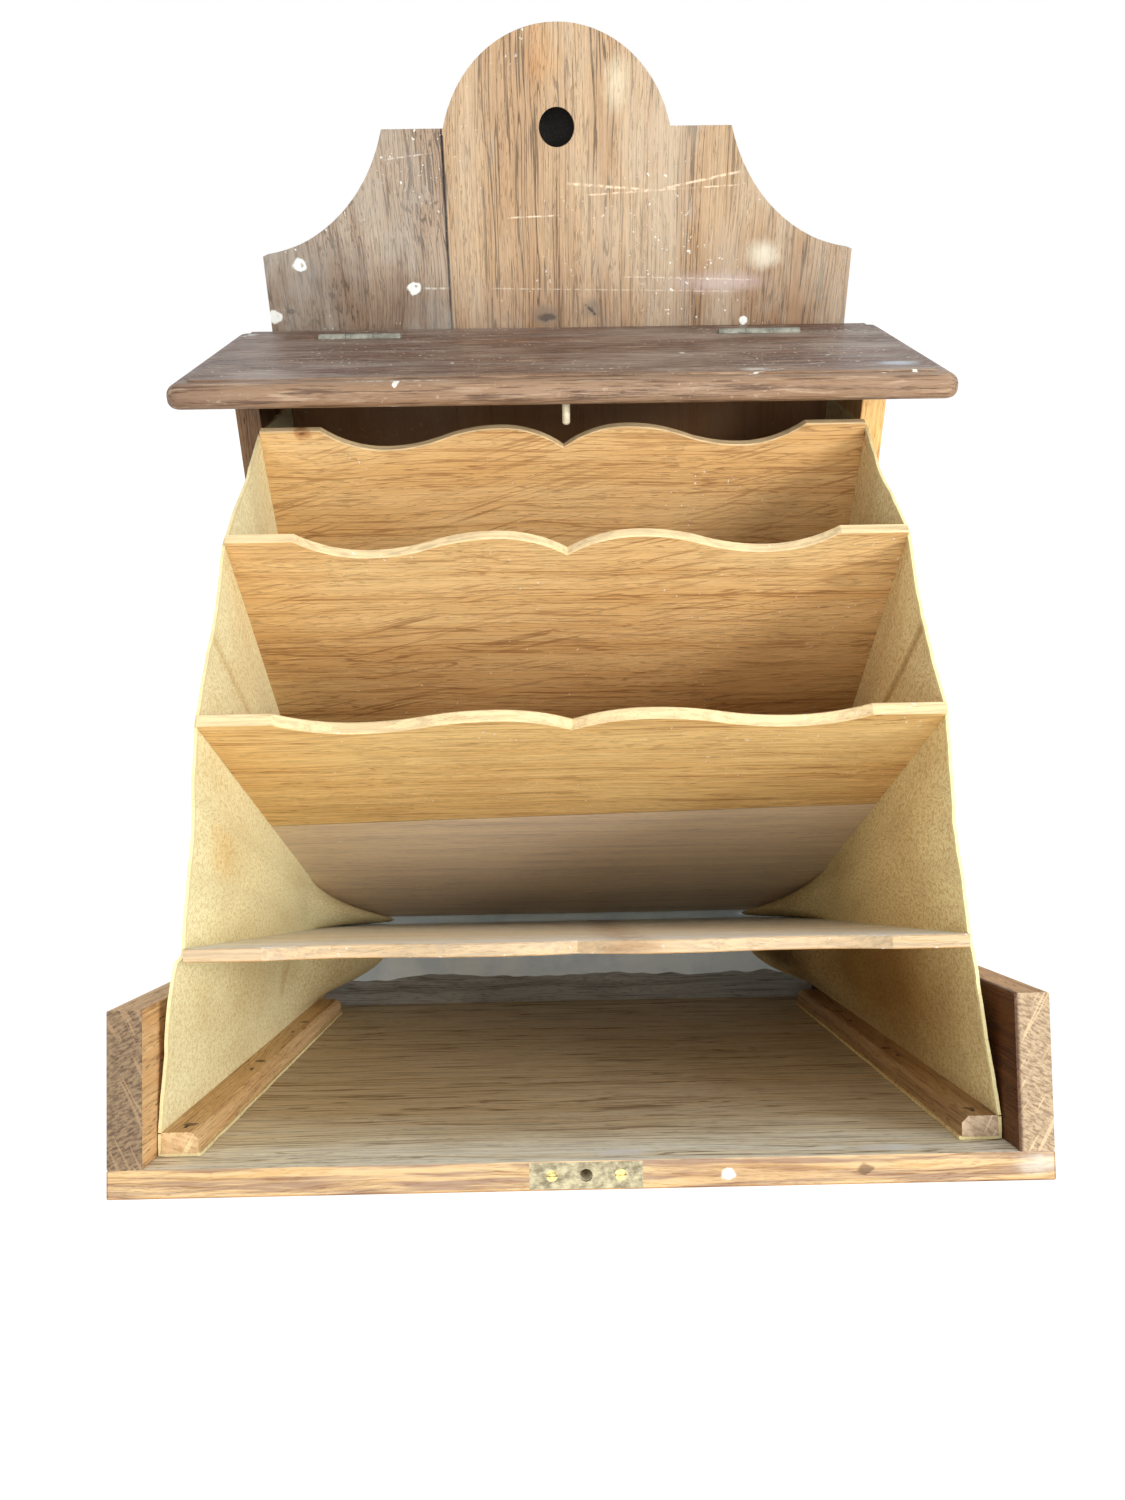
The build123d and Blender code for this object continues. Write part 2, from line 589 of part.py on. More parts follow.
def export(name, shapes):
    """Writes one node, its origin moved from the bench to the hanging hole."""
    solids = [solid for shape in shapes for solid in shape.solids()]
    placed = [Pos(0, 0, -HOLE_HEIGHT) * solid for solid in solids]
    export_step(placed[0] if len(placed) == 1 else Compound(children=placed), f"parts/{name}.step")


def opened(shapes):
    """The drop front's pieces, leaned to the open stop."""
    return [leaned(shape, OPEN_LEAN) for shape in shapes]


os.makedirs("parts", exist_ok=True)

export("backboard_left", [backboard_part(-BACK_HALF - CUT_PAST, SEAM_X - SEAM_GAP / 2)])
export("backboard_right", [backboard_part(SEAM_X + SEAM_GAP / 2, BACK_HALF + CUT_PAST)])
export("backboard_nails", [cut_nail(*place, NAIL_LENGTH) for place in backboard_nail_places()])
export("base_board", [base_board()])
export("base_nails", [cut_nail(*place, NAIL_LENGTH) for place in base_nail_places()])
export("top_strip", [top_strip()])
export("lid", [lid()])
export("catch_pin", [catch_pin()])
export("lid_hinge_fixed_leaves", [butt_leaf(centre, -1, 1, True) for centre in LID_HINGES])
export("lid_hinge_moving_leaves", [butt_leaf(centre, -1, -1, False) for centre in LID_HINGES])
export("lid_hinge_pins", [hinge_pin(centre) for centre in LID_HINGES])
export("lid_hinge_fixed_screws", [screw for centre in LID_HINGES for screw in hinge_screws(centre, -1, 1)])
export("lid_hinge_moving_screws", [screw for centre in LID_HINGES for screw in hinge_screws(centre, -1, -1)])
export("drop_hinge_fixed_leaves", [butt_leaf(centre, 1, 1, True) for centre in CASE_DROP_HINGES])
export("drop_hinge_moving_leaves", opened([butt_leaf(centre, 1, -1, False) for centre in DROP_HINGES]))
export("drop_hinge_pins", [hinge_pin(centre) for centre in CASE_DROP_HINGES])
export("drop_hinge_fixed_screws", [s for centre in CASE_DROP_HINGES for s in hinge_screws(centre, 1, 1)])
export("drop_hinge_moving_screws", opened([s for centre in DROP_HINGES
                                           for s in hinge_screws(centre, 1, -1)]))
export("drop_panel", opened([drop_panel()]))
export("panel_nails", opened([cut_nail(*place, NAIL_LENGTH) for place in panel_nail_places()]))
export("bottom_rail", opened([bottom_rail()]))
export("rail_nails", opened([cut_nail(*place, NAIL_LENGTH) for place in rail_nail_places()]))
export("catch_plate", opened([catch_plate()]))
export("catch_plate_screws", opened([plate_screw(*place) for place in plate_screw_places()]))
export("batten_nails", opened([cut_nail(*place, BATTEN_NAIL_LENGTH)
                               for side in (-1, 1) for place in batten_nail_places(side)]))
for word, side in (("left", -1), ("right", 1)):
    export(f"case_side_{word}", [case_side(side)])
    export(f"cheek_{word}", opened([cheek(side)]))
    export(f"batten_{word}", opened([batten(side)]))
    export(f"gusset_{word}", [gusset(side)])
for number in range(DIVIDER_COUNT):
    export(f"divider_{number + 1}", [leaned(divider(number), open_lean(number))])
export("bottom_lining", [bottom_lining()])
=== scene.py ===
"""Looks of a wall-hung oak paper rack: its finishes, leather sides, cloth lining, light and camera."""
import json
import logging
import math
from dataclasses import dataclass, replace
from enum import Enum
from typing import Any, Iterable, Sequence

import bmesh
import bpy
from mathutils import Matrix, Vector, noise


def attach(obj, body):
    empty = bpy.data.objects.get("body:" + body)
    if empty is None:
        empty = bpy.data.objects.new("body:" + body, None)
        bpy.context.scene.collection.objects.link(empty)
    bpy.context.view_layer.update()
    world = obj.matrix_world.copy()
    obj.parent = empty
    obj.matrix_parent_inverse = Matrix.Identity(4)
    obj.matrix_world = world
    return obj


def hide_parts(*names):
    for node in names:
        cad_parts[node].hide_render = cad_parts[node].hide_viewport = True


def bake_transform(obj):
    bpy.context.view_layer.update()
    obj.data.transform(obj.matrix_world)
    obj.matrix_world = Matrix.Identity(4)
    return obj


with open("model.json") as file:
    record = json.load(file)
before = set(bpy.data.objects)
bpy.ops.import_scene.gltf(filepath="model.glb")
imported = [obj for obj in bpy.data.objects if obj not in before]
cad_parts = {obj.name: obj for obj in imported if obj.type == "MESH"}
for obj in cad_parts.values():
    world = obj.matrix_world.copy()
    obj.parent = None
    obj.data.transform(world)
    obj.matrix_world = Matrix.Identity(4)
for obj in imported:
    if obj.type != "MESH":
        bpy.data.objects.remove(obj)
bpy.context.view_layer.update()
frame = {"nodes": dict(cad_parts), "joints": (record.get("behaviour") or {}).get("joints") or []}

LOG = logging.getLogger("paper_rack")

Colour = tuple[float, float, float]
Socket = bpy.types.NodeSocket

MM = 0.001


def joint_place(name: str) -> Vector:
    """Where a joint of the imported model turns.

    Args:
        name: the joint's name in the record.

    Returns:
        The joint's point, in metres.
    """
    return Vector(next(joint for joint in frame["joints"] if joint["name"] == name)["pos_m"])


HINGE = joint_place("drop_front_hinge")
# How far the open front and the dividers lean forward, in degrees, from the back.
OPEN_LEAN = 58.5
DIVIDER_LEANS = [10.0 + number * 14.65 for number in range(4)]
# How far the middle of each divider stands behind its plane through the hinge line.
DIVIDER_OFFSETS = [(10.5 - 7.0 * number) * MM for number in range(4)]
# Where the two boards of the back meet, in millimetres across.
SEAM_X = -71.0
# How far apart the webs lie on the leather's flat coordinates, in metres.
WEB_APART = 1.0


def screen(colour: Colour) -> tuple[float, float, float, float]:
    """Linear RGBA of a colour that is given as screen values.

    Args:
        colour: red, green and blue from 0 to 255.

    Returns:
        The same colour for a shader socket.
    """
    def channel(value: float) -> float:
        """One channel, made linear."""
        share = value / 255
        return share / 12.92 if share <= 0.04045 else ((share + 0.055) / 1.055) ** 2.4

    return (channel(colour[0]), channel(colour[1]), channel(colour[2]), 1.0)


def leaned(x: float, offset: float, height: float, lean: float) -> Vector:
    """A point of a board that leans forward about the drop front's hinge line.

    Args:
        x: the place across the rack, in metres.
        offset: how far behind the board's own plane through the hinge, in metres.
        height: how far up the board, in metres.
        lean: how far the board leans forward, in degrees.

    Returns:
        The point in the rack's frame.
    """
    turn = math.radians(lean)
    return Vector((x, HINGE.y + offset * math.cos(turn) - height * math.sin(turn),
                   HINGE.z + offset * math.sin(turn) + height * math.cos(turn)))


class Graph:
    """A material's node tree, built socket by socket."""

    def __init__(self, name: str) -> None:
        """Starts a material with a Principled shader.

        Args:
            name: the material's name.
        """
        self.material = bpy.data.materials.new(name)
        self.material.use_nodes = True
        self.tree = self.material.node_tree
        self.tree.nodes.clear()
        self.shader = self.tree.nodes.new("ShaderNodeBsdfPrincipled")
        self.output = self.tree.nodes.new("ShaderNodeOutputMaterial")
        self.show(self.shader.outputs["BSDF"])

    def show(self, surface: Socket) -> None:
        """Makes a shader the one that the material shows.

        Args:
            surface: the shader's output.
        """
        self.feed(self.output.inputs["Surface"], surface)

    def finish(self, colour: Any, roughness: Any, **others: Any) -> bpy.types.Material:
        """Gives the Principled shader its colour, roughness and other inputs.

        Args:
            colour: the base colour, or its socket.
            roughness: a number, or a socket.
            others: further inputs by name, with underscores for the spaces.

        Returns:
            The finished material.
        """
        inputs = {"Base Color": colour, "Roughness": roughness}
        inputs.update({name.replace("_", " "): value for name, value in others.items()})
        for name, value in inputs.items():
            self.feed(self.shader.inputs[name], value)
        return self.material

    def feed(self, socket: Socket, value: Any) -> None:
        """Links a socket to another, or sets its value.

        Args:
            socket: the input.
            value: an output socket, or a constant.
        """
        if isinstance(value, bpy.types.NodeSocket):
            self.tree.links.new(value, socket)
        else:
            socket.default_value = value

    def node(self, kind: str, feeds: dict[Any, Any], **settings: Any) -> bpy.types.Node:
        """Adds one node.

        Args:
            kind: Blender's name for the node.
            feeds: what goes into its inputs, by name or number.
            settings: the node's own properties.

        Returns:
            The node.
        """
        made = self.tree.nodes.new(kind)
        for key, value in settings.items():
            setattr(made, key, value)
        for key, value in feeds.items():
            self.feed(made.inputs[key], value)
        return made

    def math(self, operation: str, first: Any, second: Any = 0.0) -> Socket:
        """A Math node's result."""
        return self.node("ShaderNodeMath", {0: first, 1: second}, operation=operation).outputs[0]

    def times(self, first: Any, second: Any) -> Socket:
        """The product of two numbers."""
        return self.math("MULTIPLY", first, second)

    def off(self, value: Any, middle: float) -> Socket:
        """How far a number is from a middle, to either side."""
        return self.math("ABSOLUTE", self.math("SUBTRACT", value, middle))

    def scaled(self, place: Any, scale: Sequence[float]) -> Socket:
        """A place stretched along each axis."""
        return self.vector("MULTIPLY", place, tuple(scale))

    def turned(self, place: Any, rotation: Sequence[float]) -> Socket:
        """A place turned by three angles, in degrees."""
        angles = tuple(math.radians(angle) for angle in rotation)
        return self.node("ShaderNodeMapping", {"Vector": place, "Rotation": angles}).outputs[0]

    def vector(self, operation: str, first: Any, second: Any) -> Socket:
        """A Vector Math node's vector."""
        return self.node("ShaderNodeVectorMath", {0: first, 1: second}, operation=operation).outputs[0]

    def reach(self, operation: str, first: Any, second: Any) -> Socket:
        """A Vector Math node's number, such as a distance or a dot product."""
        return self.node("ShaderNodeVectorMath", {0: first, 1: second},
                         operation=operation).outputs["Value"]

    def remap(self, value: Socket, low: float, high: float, to_low: float = 0.0,
              to_high: float = 1.0) -> Socket:
        """A value moved from one range to another, and held inside it."""
        return self.node("ShaderNodeMapRange", {"Value": value, "From Min": low, "From Max": high,
                                                "To Min": to_low, "To Max": to_high},
                         interpolation_type="SMOOTHSTEP").outputs["Result"]

    def noise(self, place: Socket, scale: float = 1.0, detail: float = 3.0,
              roughness: float = 0.55) -> Socket:
        """A noise texture's value, from about 0.25 to 0.75."""
        return self.node("ShaderNodeTexNoise", {"Vector": place, "Scale": scale, "Detail": detail,
                                                "Roughness": roughness}).outputs[0]

    def warp(self, place: Socket, scale: Sequence[float], amount: Sequence[float]) -> Socket:
        """A place shifted about by slow noise.

        Args:
            place: the place to shift.
            scale: how fast the shift changes along each axis.
            amount: how far it reaches along each axis.

        Returns:
            The shifted place.
        """
        slow = self.scaled(place, scale)
        shift = self.node("ShaderNodeTexNoise", {"Vector": slow, "Scale": 1.0, "Detail": 2.0}).outputs[1]
        centred = self.vector("SUBTRACT", shift, (0.5, 0.5, 0.5))
        return self.vector("ADD", place, self.scaled(centred, amount))

    def mix(self, share: Any, first: Any, second: Any, blend: str = "MIX") -> Socket:
        """Two colours mixed.

        Args:
            share: how much of the second, from 0 to 1.
            first: a colour or socket.
            second: a colour or socket.
            blend: the Mix node's blend type.

        Returns:
            The mixed colour.
        """
        return self.node("ShaderNodeMix", {0: share, 6: first, 7: second}, data_type="RGBA",
                         blend_type=blend).outputs[2]

    def tint(self, colour: Socket, share: Any, tone: Colour, blend: str = "MIX") -> Socket:
        """A colour with some of another over it.

        Args:
            colour: what is there.
            share: how much of the tone, from 0 to 1.
            tone: a screen colour.
            blend: the Mix node's blend type.

        Returns:
            The new colour.
        """
        return self.mix(share, colour, screen(tone), blend)

    def mixed_place(self, first: Socket, second: Socket, share: float) -> Socket:
        """A place so much of the way from one to another."""
        run = self.vector("SUBTRACT", second, first)
        return self.vector("ADD", first, self.scaled(run, (share, share, share)))

    def ramp(self, value: Socket, stops: Iterable[tuple[float, Colour]]) -> Socket:
        """A colour ramp.

        Args:
            value: where on the ramp.
            stops: places from 0 to 1 with screen colours, at least two.

        Returns:
            The ramp's colour.
        """
        made = self.node("ShaderNodeValToRGB", {0: value})
        elements = made.color_ramp.elements
        for number, (place, colour) in enumerate(stops):
            element = elements[number] if number < 2 else elements.new(place)
            element.position = place
            element.color = screen(colour)
        return made.outputs[0]

    def bump(self, height: Socket, distance: float, strength: float) -> Socket:
        """A bump normal from a height socket."""
        return self.node("ShaderNodeBump", {"Height": height, "Distance": distance,
                                            "Strength": strength}).outputs[0]


class Face(Enum):
    """The side of a board that a mark lies on, as the directions that count there."""

    FRONT = (1.0, 0.0, 1.0)
    TOP = (1.0, 1.0, 0.0)

    def point(self, x: float, y: float) -> tuple[float, float, float]:
        """A place on the side, given across and along it in millimetres."""
        return (x * MM, 0.0, y * MM) if self is Face.FRONT else (x * MM, y * MM, 0.0)


@dataclass(frozen=True)
class Spot:
    """A dab of paint, a dent, a stain or a knot on a board.

    Attributes:
        x: place across the rack, in millimetres.
        y: place up the board from the hinge line, or along its top, in millimetres.
        radius: size in millimetres.
        colour: its screen colour.
        strength: how much it covers.
        soft: the share of the radius over which it fades.
        long: how many times wider than high it is.
        blend: how it mixes with the wood.
        face: the side it lies on.
    """

    x: float
    y: float
    radius: float
    colour: Colour
    strength: float = 0.9
    soft: float = 0.3
    long: float = 1.0
    blend: str = "MIX"
    face: Face = Face.FRONT

    def lay(self, graph: Graph, colour: Socket, place: Socket, rough: Socket) -> Socket:
        """The colour with the spot on it."""
        across, through, up = self.face.value
        stretch = (across / self.long, through, up)
        flat = graph.scaled(rough, stretch)
        centre = tuple(part * factor for part, factor in zip(self.face.point(self.x, self.y), stretch))
        away = graph.reach("DISTANCE", flat, centre)
        cover = graph.remap(away, self.radius * MM, self.radius * MM * (1 - self.soft), 0.0, self.strength)
        return graph.tint(colour, cover, self.colour, self.blend)


@dataclass(frozen=True)
class Scratch:
    """A thin scratch or crack on a board.

    Attributes:
        start: where it begins, across and along the side, in millimetres.
        end: where it ends.
        width: half its width, in millimetres.
        colour: its screen colour.
        strength: how much it covers.
        fade: how long its two tips fade, in millimetres.
        face: the side it lies on.
        gaps: how broken and crooked it is, 0 for a clean line.
    """

    start: tuple[float, float]
    end: tuple[float, float]
    width: float = 0.7
    colour: Colour = (236, 226, 212)
    strength: float = 0.7
    fade: float = 8.0
    face: Face = Face.FRONT
    gaps: float = 0.85

    def lay(self, graph: Graph, colour: Socket, place: Socket, rough: Socket) -> Socket:
        """The colour with the scratch on it."""
        start = Vector(self.face.point(*self.start))
        run = Vector(self.face.point(*self.end)) - start
        along = run.normalized()
        side = Vector((0.0, 1.0, 0.0)) if self.face is Face.FRONT else Vector((0.0, 0.0, 1.0))
        across = along.cross(side)
        bent = graph.mixed_place(place, rough, 0.12 * self.gaps)
        from_start = graph.vector("SUBTRACT", bent, tuple(start))
        off = graph.math("ABSOLUTE", graph.reach("DOT_PRODUCT", from_start, tuple(across)))
        gone = graph.reach("DOT_PRODUCT", from_start, tuple(along))
        line = graph.remap(off, self.width * MM, self.width * MM * 0.3)
        fade = self.fade * MM
        inside = graph.times(graph.remap(gone, 0.0, fade), graph.remap(gone, run.length, run.length - fade))
        broken = graph.remap(graph.noise(place, 260.0, 1.0), 0.42, 0.56, 1.0 - self.gaps, 1.0)
        cover = graph.times(graph.times(line, inside), broken)
        return graph.tint(colour, graph.times(cover, self.strength), self.colour)


@dataclass(frozen=True)
class Shade:
    """A slow change of colour along one direction of a board, such as soiling towards its foot.

    Attributes:
        axis: 0 across, 1 through, 2 up the board.
        start: where the colour begins to change, in millimetres.
        end: where the change is whole, in millimetres.
        colour: what the board is mixed with there.
        uneven: how far the edge of it wanders, in millimetres.
        strength: how much it changes at most.
        blend: how it mixes with the wood.
    """

    axis: int
    start: float
    end: float
    colour: Colour
    uneven: float = 30.0
    strength: float = 1.0
    blend: str = "MULTIPLY"

    def lay(self, graph: Graph, colour: Socket, place: Socket, rough: Socket) -> Socket:
        """The colour with the change on it."""
        wander = graph.remap(graph.noise(place, 9.0, 2.0), 0.3, 0.7, -self.uneven * MM, self.uneven * MM)
        parts = graph.node("ShaderNodeSeparateXYZ", {0: place})
        share = graph.remap(graph.math("ADD", parts.outputs[self.axis], wander), self.start * MM,
                            self.end * MM, 0.0, self.strength)
        return graph.tint(colour, share, self.colour, self.blend)


@dataclass(frozen=True)
class GlueLine:
    """The line where two boards are glued edge to edge, and the other tone of the lower one.

    Attributes:
        height: up the board at the middle of the rack, in millimetres.
        slope: how much higher it is at each millimetre to the right.
        colour: of the line.
        below: the tone that the lower board has more of.
        width: half the line's width, in millimetres.
    """

    height: float
    slope: float
    colour: Colour
    below: Colour | None = None
    width: float = 0.6

    def lay(self, graph: Graph, colour: Socket, place: Socket, rough: Socket) -> Socket:
        """The colour with the line and the lower board's tone."""
        over = graph.math("SUBTRACT", graph.reach("DOT_PRODUCT", place, (-self.slope, 0.0, 1.0)),
                          self.height * MM)
        lower = graph.remap(over, 0.3 * MM, -0.3 * MM, 0.0, 0.45)
        colour = graph.tint(colour, lower, self.below) if self.below else colour
        line = graph.remap(graph.math("ABSOLUTE", over), self.width * MM, self.width * MM * 0.3, 0.0, 0.75)
        return graph.tint(colour, line, self.colour)


@dataclass(frozen=True)
class Specks:
    """Fine scattered flecks of paint or dust, in clusters.

    Attributes:
        colour: their screen colour.
        scale: how many places for a fleck there are to the metre.
        rarity: how high the noise has to be for a fleck, from about 0.25 to 0.75.
        strength: how much they cover.
        cluster: the same height for a cluster.
    """

    colour: Colour = (238, 232, 220)
    scale: float = 380.0
    rarity: float = 0.7
    strength: float = 0.85
    cluster: float = 0.5

    def lay(self, graph: Graph, colour: Socket, place: Socket, rough: Socket) -> Socket:
        """The colour with the flecks on it."""
        found = graph.noise(place, self.scale, 1.0, 0.4)
        gathered = graph.remap(graph.noise(place, 16.0, 1.0), self.cluster - 0.06, self.cluster + 0.12)
        cover = graph.times(graph.remap(found, self.rarity, self.rarity + 0.03), gathered)
        return graph.tint(colour, graph.times(cover, self.strength), self.colour)


@dataclass(frozen=True)
class Haze:
    """A thin uneven film of dust or worn wax over a board.

    Attributes:
        colour: its screen colour.
        strength: how much it covers at most.
        scale: how many patches there are to the metre along each axis.
        low: the noise at which the film begins.
        high: the noise at which it is whole.
    """

    colour: Colour
    strength: float
    scale: tuple[float, float, float] = (14.0, 14.0, 14.0)
    low: float = 0.38
    high: float = 0.66

    def lay(self, graph: Graph, colour: Socket, place: Socket, rough: Socket) -> Socket:
        """The colour with the film on it."""
        found = graph.noise(graph.scaled(place, self.scale), 1.0, 4.0, 0.62)
        cover = graph.remap(found, self.low, self.high, 0.0, self.strength)
        return graph.tint(colour, cover, self.colour)


Mark = Spot | Scratch | Shade | GlueLine | Specks | Haze


def on_top(*marks: Spot | Scratch) -> tuple[Spot | Scratch, ...]:
    """Marks moved from the front of a board to its top.

    Args:
        marks: spots and scratches.

    Returns:
        The same marks on the top.
    """
    return tuple(replace(mark, face=Face.TOP) for mark in marks)


# Painted shade: the backboards below the lid are mixed towards dark brown for the shade under it, over wood
# that is also cleaner there.
UNDER_LID_SHADE = Shade(2, 412, 404, (150, 102, 56), 0, 0.8, "MIX")


def per_metre(sizes: Iterable[float]) -> tuple[float, ...]:
    """Texture scales for features of these sizes.

    Args:
        sizes: one size for each axis, in millimetres.

    Returns:
        How many of them there are to the metre.
    """
    return tuple(1.0 / (MM * size) for size in sizes)


class Grain(Enum):
    """Which way a board's fibres run, in the board's own directions."""

    ACROSS = (1.0, 0.0, 0.0)
    UP = (0.0, 0.0, 1.0)


@dataclass(frozen=True)
class Oak:
    """Oak, cut and coloured for one kind of board.

    Attributes:
        name: the material's name.
        light: the ground between the pore lines.
        mid: the ground's darker bands.
        dark: the pore lines.
        grain: which way the fibres run.
        lean: how far the board leans forward in the open rack, in degrees.
        seed: shifts the figure, so that no two boards are alike.
        band: the width of the ground's bands, in millimetres.
        line: the spacing of the pore lines, in millimetres.
        run: their length, in millimetres.
        lines: how strongly they show.
        fine: their width, as a share of the noise that draws them.
        wave: how far the lines wander, in millimetres.
        fleck: how dark the silky ray flecks are, 0 for none.
        tilt: the flecks' angle to the fibres, in degrees.
        pores: how strongly the open pores show.
        end: colour of the sawn end grain, or of the worn edges that face up the board.
        end_dark: the darker tone there.
        cut: the angle of the rays in the sawn end, in degrees.
        roughness: of the surface.
        marks: what time has left on it.
    """

    # Length and width of what the wood shows, in millimetres.
    BAND_RUN = 320.0
    FIBRE = (24.0, 0.6)
    PORE = (7.0, 0.5)
    RAY = (84.0, 1.7)
    # The same in the worn edges and in the sawn ends, along three axes.
    WORN_STREAK = (70.0, 2.4, 2.4)
    SAWN_RING = (3.6, 1.2, 25.0)
    SAWN_RAY = (1.8, 34.0, 25.0)

    name: str
    light: Colour
    mid: Colour
    dark: Colour
    grain: Grain
    lean: float = 0.0
    seed: float = 0.0
    band: float = 6.0
    line: float = 2.6
    run: float = 120.0
    lines: float = 0.75
    fine: float = 0.045
    wave: float = 14.0
    fleck: float = 0.0
    tilt: float = 14.0
    pores: float = 0.5
    end: Colour | None = None
    end_dark: Colour = (120, 92, 70)
    cut: float = 28.0
    roughness: float = 0.55
    marks: tuple[Mark, ...] = ()

    def along_grain(self, graph: Graph, place: Socket, along: float, across: float) -> Socket:
        """A place scaled for a figure so many millimetres long and wide."""
        return graph.scaled(place, per_metre(along if part else across for part in self.grain.value))

    def place(self, graph: Graph) -> Socket:
        """The board's own coordinates: across, through and up from the hinge line, in metres."""
        found = graph.node("ShaderNodeTexCoord", {}).outputs["Object"]
        return graph.node("ShaderNodeMapping", {"Vector": found, "Location": tuple(HINGE),
                                                "Rotation": (math.radians(self.lean), 0.0, 0.0)},
                          vector_type="TEXTURE").outputs[0]

    def figure(self, graph: Graph, place: Socket) -> tuple[Socket, Socket]:
        """The wood's figure.

        Args:
            graph: the node tree.
            place: the board's coordinates.

        Returns:
            The colour, and a height for the bump.
        """
        shifted = graph.vector("ADD", place, (self.seed * 1.37, self.seed * 0.61, self.seed * 0.83))
        slow = (6, 20, 14) if self.grain is Grain.ACROSS else (14, 20, 6)
        bent = graph.warp(shifted, slow, (self.wave * MM,) * 3)
        bands = graph.noise(self.along_grain(graph, bent, self.BAND_RUN, self.band), 1.0, 3.0, 0.55)
        colour = graph.ramp(bands, ((0.36, self.mid), (0.6, self.light)))
        found = graph.noise(self.along_grain(graph, bent, self.run, self.line), 1.0, 1.0, 0.4)
        thin = graph.times(graph.remap(graph.off(found, 0.5), self.fine, self.fine * 0.25),
                           graph.remap(bands, 0.62, 0.4, 0.4, 1.0))
        colour = graph.tint(colour, graph.times(thin, self.lines), self.dark)
        fibres = graph.noise(self.along_grain(graph, shifted, *self.FIBRE), 1.0, 2.0, 0.7)
        colour = graph.tint(colour, graph.remap(fibres, 0.34, 0.66, 0.3, 0.0), self.dark)
        holes = graph.noise(self.along_grain(graph, bent, *self.PORE), 1.0, 1.0, 0.5)
        pits = graph.times(graph.remap(holes, 0.42, 0.33), graph.remap(found, 0.42, 0.56, 0.3, 1.0))
        deep = tuple(channel * 0.55 for channel in self.dark)
        colour = graph.tint(colour, graph.times(pits, self.pores), deep)
        blotch = graph.remap(graph.noise(shifted, 8.0, 2.0), 0.36, 0.64, 0.18, 0.0)
        colour = graph.tint(colour, blotch, self.mid, "MULTIPLY")
        if self.fleck:
            tilted = graph.turned(bent, (0.0, self.tilt, 0.0))
            rays = graph.noise(self.along_grain(graph, tilted, *self.RAY), 1.0, 1.0, 0.5)
            where = graph.remap(graph.noise(shifted, 11.0, 1.0), 0.4, 0.6, 0.2, 1.0)
            flecks = graph.times(graph.remap(rays, 0.58, 0.62), where)
            colour = graph.tint(colour, graph.times(flecks, self.fleck), self.dark)
        height = graph.math("SUBTRACT", graph.times(fibres, 0.5),
                            graph.math("ADD", pits, graph.times(thin, 0.3)))
        return colour, height

    def ends(self, graph: Graph, colour: Socket, place: Socket) -> Socket:
        """The colour with the sawn ends or the worn upward edges in their own tones.

        Args:
            graph: the node tree.
            colour: the colour so far.
            place: the board's coordinates.

        Returns:
            The new colour.
        """
        if self.end is None:
            return colour
        facing = graph.node("ShaderNodeTexCoord", {}).outputs["Normal"]
        turn = math.radians(self.lean)
        toward = graph.reach("DOT_PRODUCT", facing, (0.0, -math.sin(turn), math.cos(turn)))
        if self.grain is Grain.ACROSS:
            bent = graph.warp(place, (20, 60, 60), (4 * MM,) * 3)
            streaks = graph.noise(graph.scaled(bent, per_metre(self.WORN_STREAK)), 1.0, 3.0)
            worn = graph.ramp(streaks, ((0.4, self.end_dark), (0.56, self.end)))
            return graph.mix(graph.remap(toward, 0.35, 0.75, 0.0, 0.85), colour, worn)
        cut = graph.remap(graph.math("ABSOLUTE", toward), 0.6, 0.8)
        turned = graph.turned(place, (0.0, 0.0, self.cut))
        rings = graph.noise(graph.scaled(turned, per_metre(self.SAWN_RING)), 1.0, 3.0, 0.6)
        rays = graph.noise(graph.scaled(turned, per_metre(self.SAWN_RAY)), 1.0, 1.0)
        sawn = graph.ramp(rings, ((0.38, self.end_dark), (0.58, self.end)))
        pale = tuple(min(channel * 1.22, 250.0) for channel in self.end)
        sawn = graph.tint(sawn, graph.remap(rays, 0.6, 0.65, 0.0, 0.5), pale)
        return graph.mix(cut, colour, sawn)

    def material(self) -> bpy.types.Material:
        """The finish as a material."""
        graph = Graph(self.name)
        place = self.place(graph)
        rough = graph.warp(place, (150,) * 3, (6 * MM,) * 3)
        colour, height = self.figure(graph, place)
        colour = self.ends(graph, colour, place)
        for mark in self.marks:
            colour = mark.lay(graph, colour, place, rough)
        gloss = graph.remap(height, -0.6, 0.5, self.roughness + 0.2, self.roughness - 0.05)
        return graph.finish(colour, gloss, Specular_IOR_Level=0.35,
                            Normal=graph.bump(height, 0.4 * MM, 0.6))


@dataclass(frozen=True)
class Metal:
    """Old metal, with tarnish in patches and rubbed places.

    Attributes:
        name: the material's name.
        bright: where it is rubbed.
        dull: the tarnish.
        metallic: how metallic its surface still is.
        roughness: of the surface, on average.
        scale: how many patches there are to the metre.
    """

    name: str
    bright: Colour
    dull: Colour
    metallic: float = 0.85
    roughness: float = 0.42
    scale: float = 160.0

    def material(self) -> bpy.types.Material:
        """The finish as a material."""
        graph = Graph(self.name)
        place = graph.node("ShaderNodeTexCoord", {}).outputs["Object"]
        patches = graph.noise(place, self.scale, 4.0, 0.65)
        hairlines = graph.noise(graph.scaled(place, (260.0, 3200.0, 3200.0)), 1.0, 2.0)
        tone = graph.math("ADD", graph.times(patches, 0.75), graph.times(hairlines, 0.25))
        return graph.finish(graph.ramp(tone, ((0.38, self.dull), (0.6, self.bright))),
                            graph.remap(tone, 0.35, 0.65, self.roughness + 0.2, self.roughness - 0.08),
                            Metallic=self.metallic, Normal=graph.bump(tone, 0.2 * MM, 0.5))


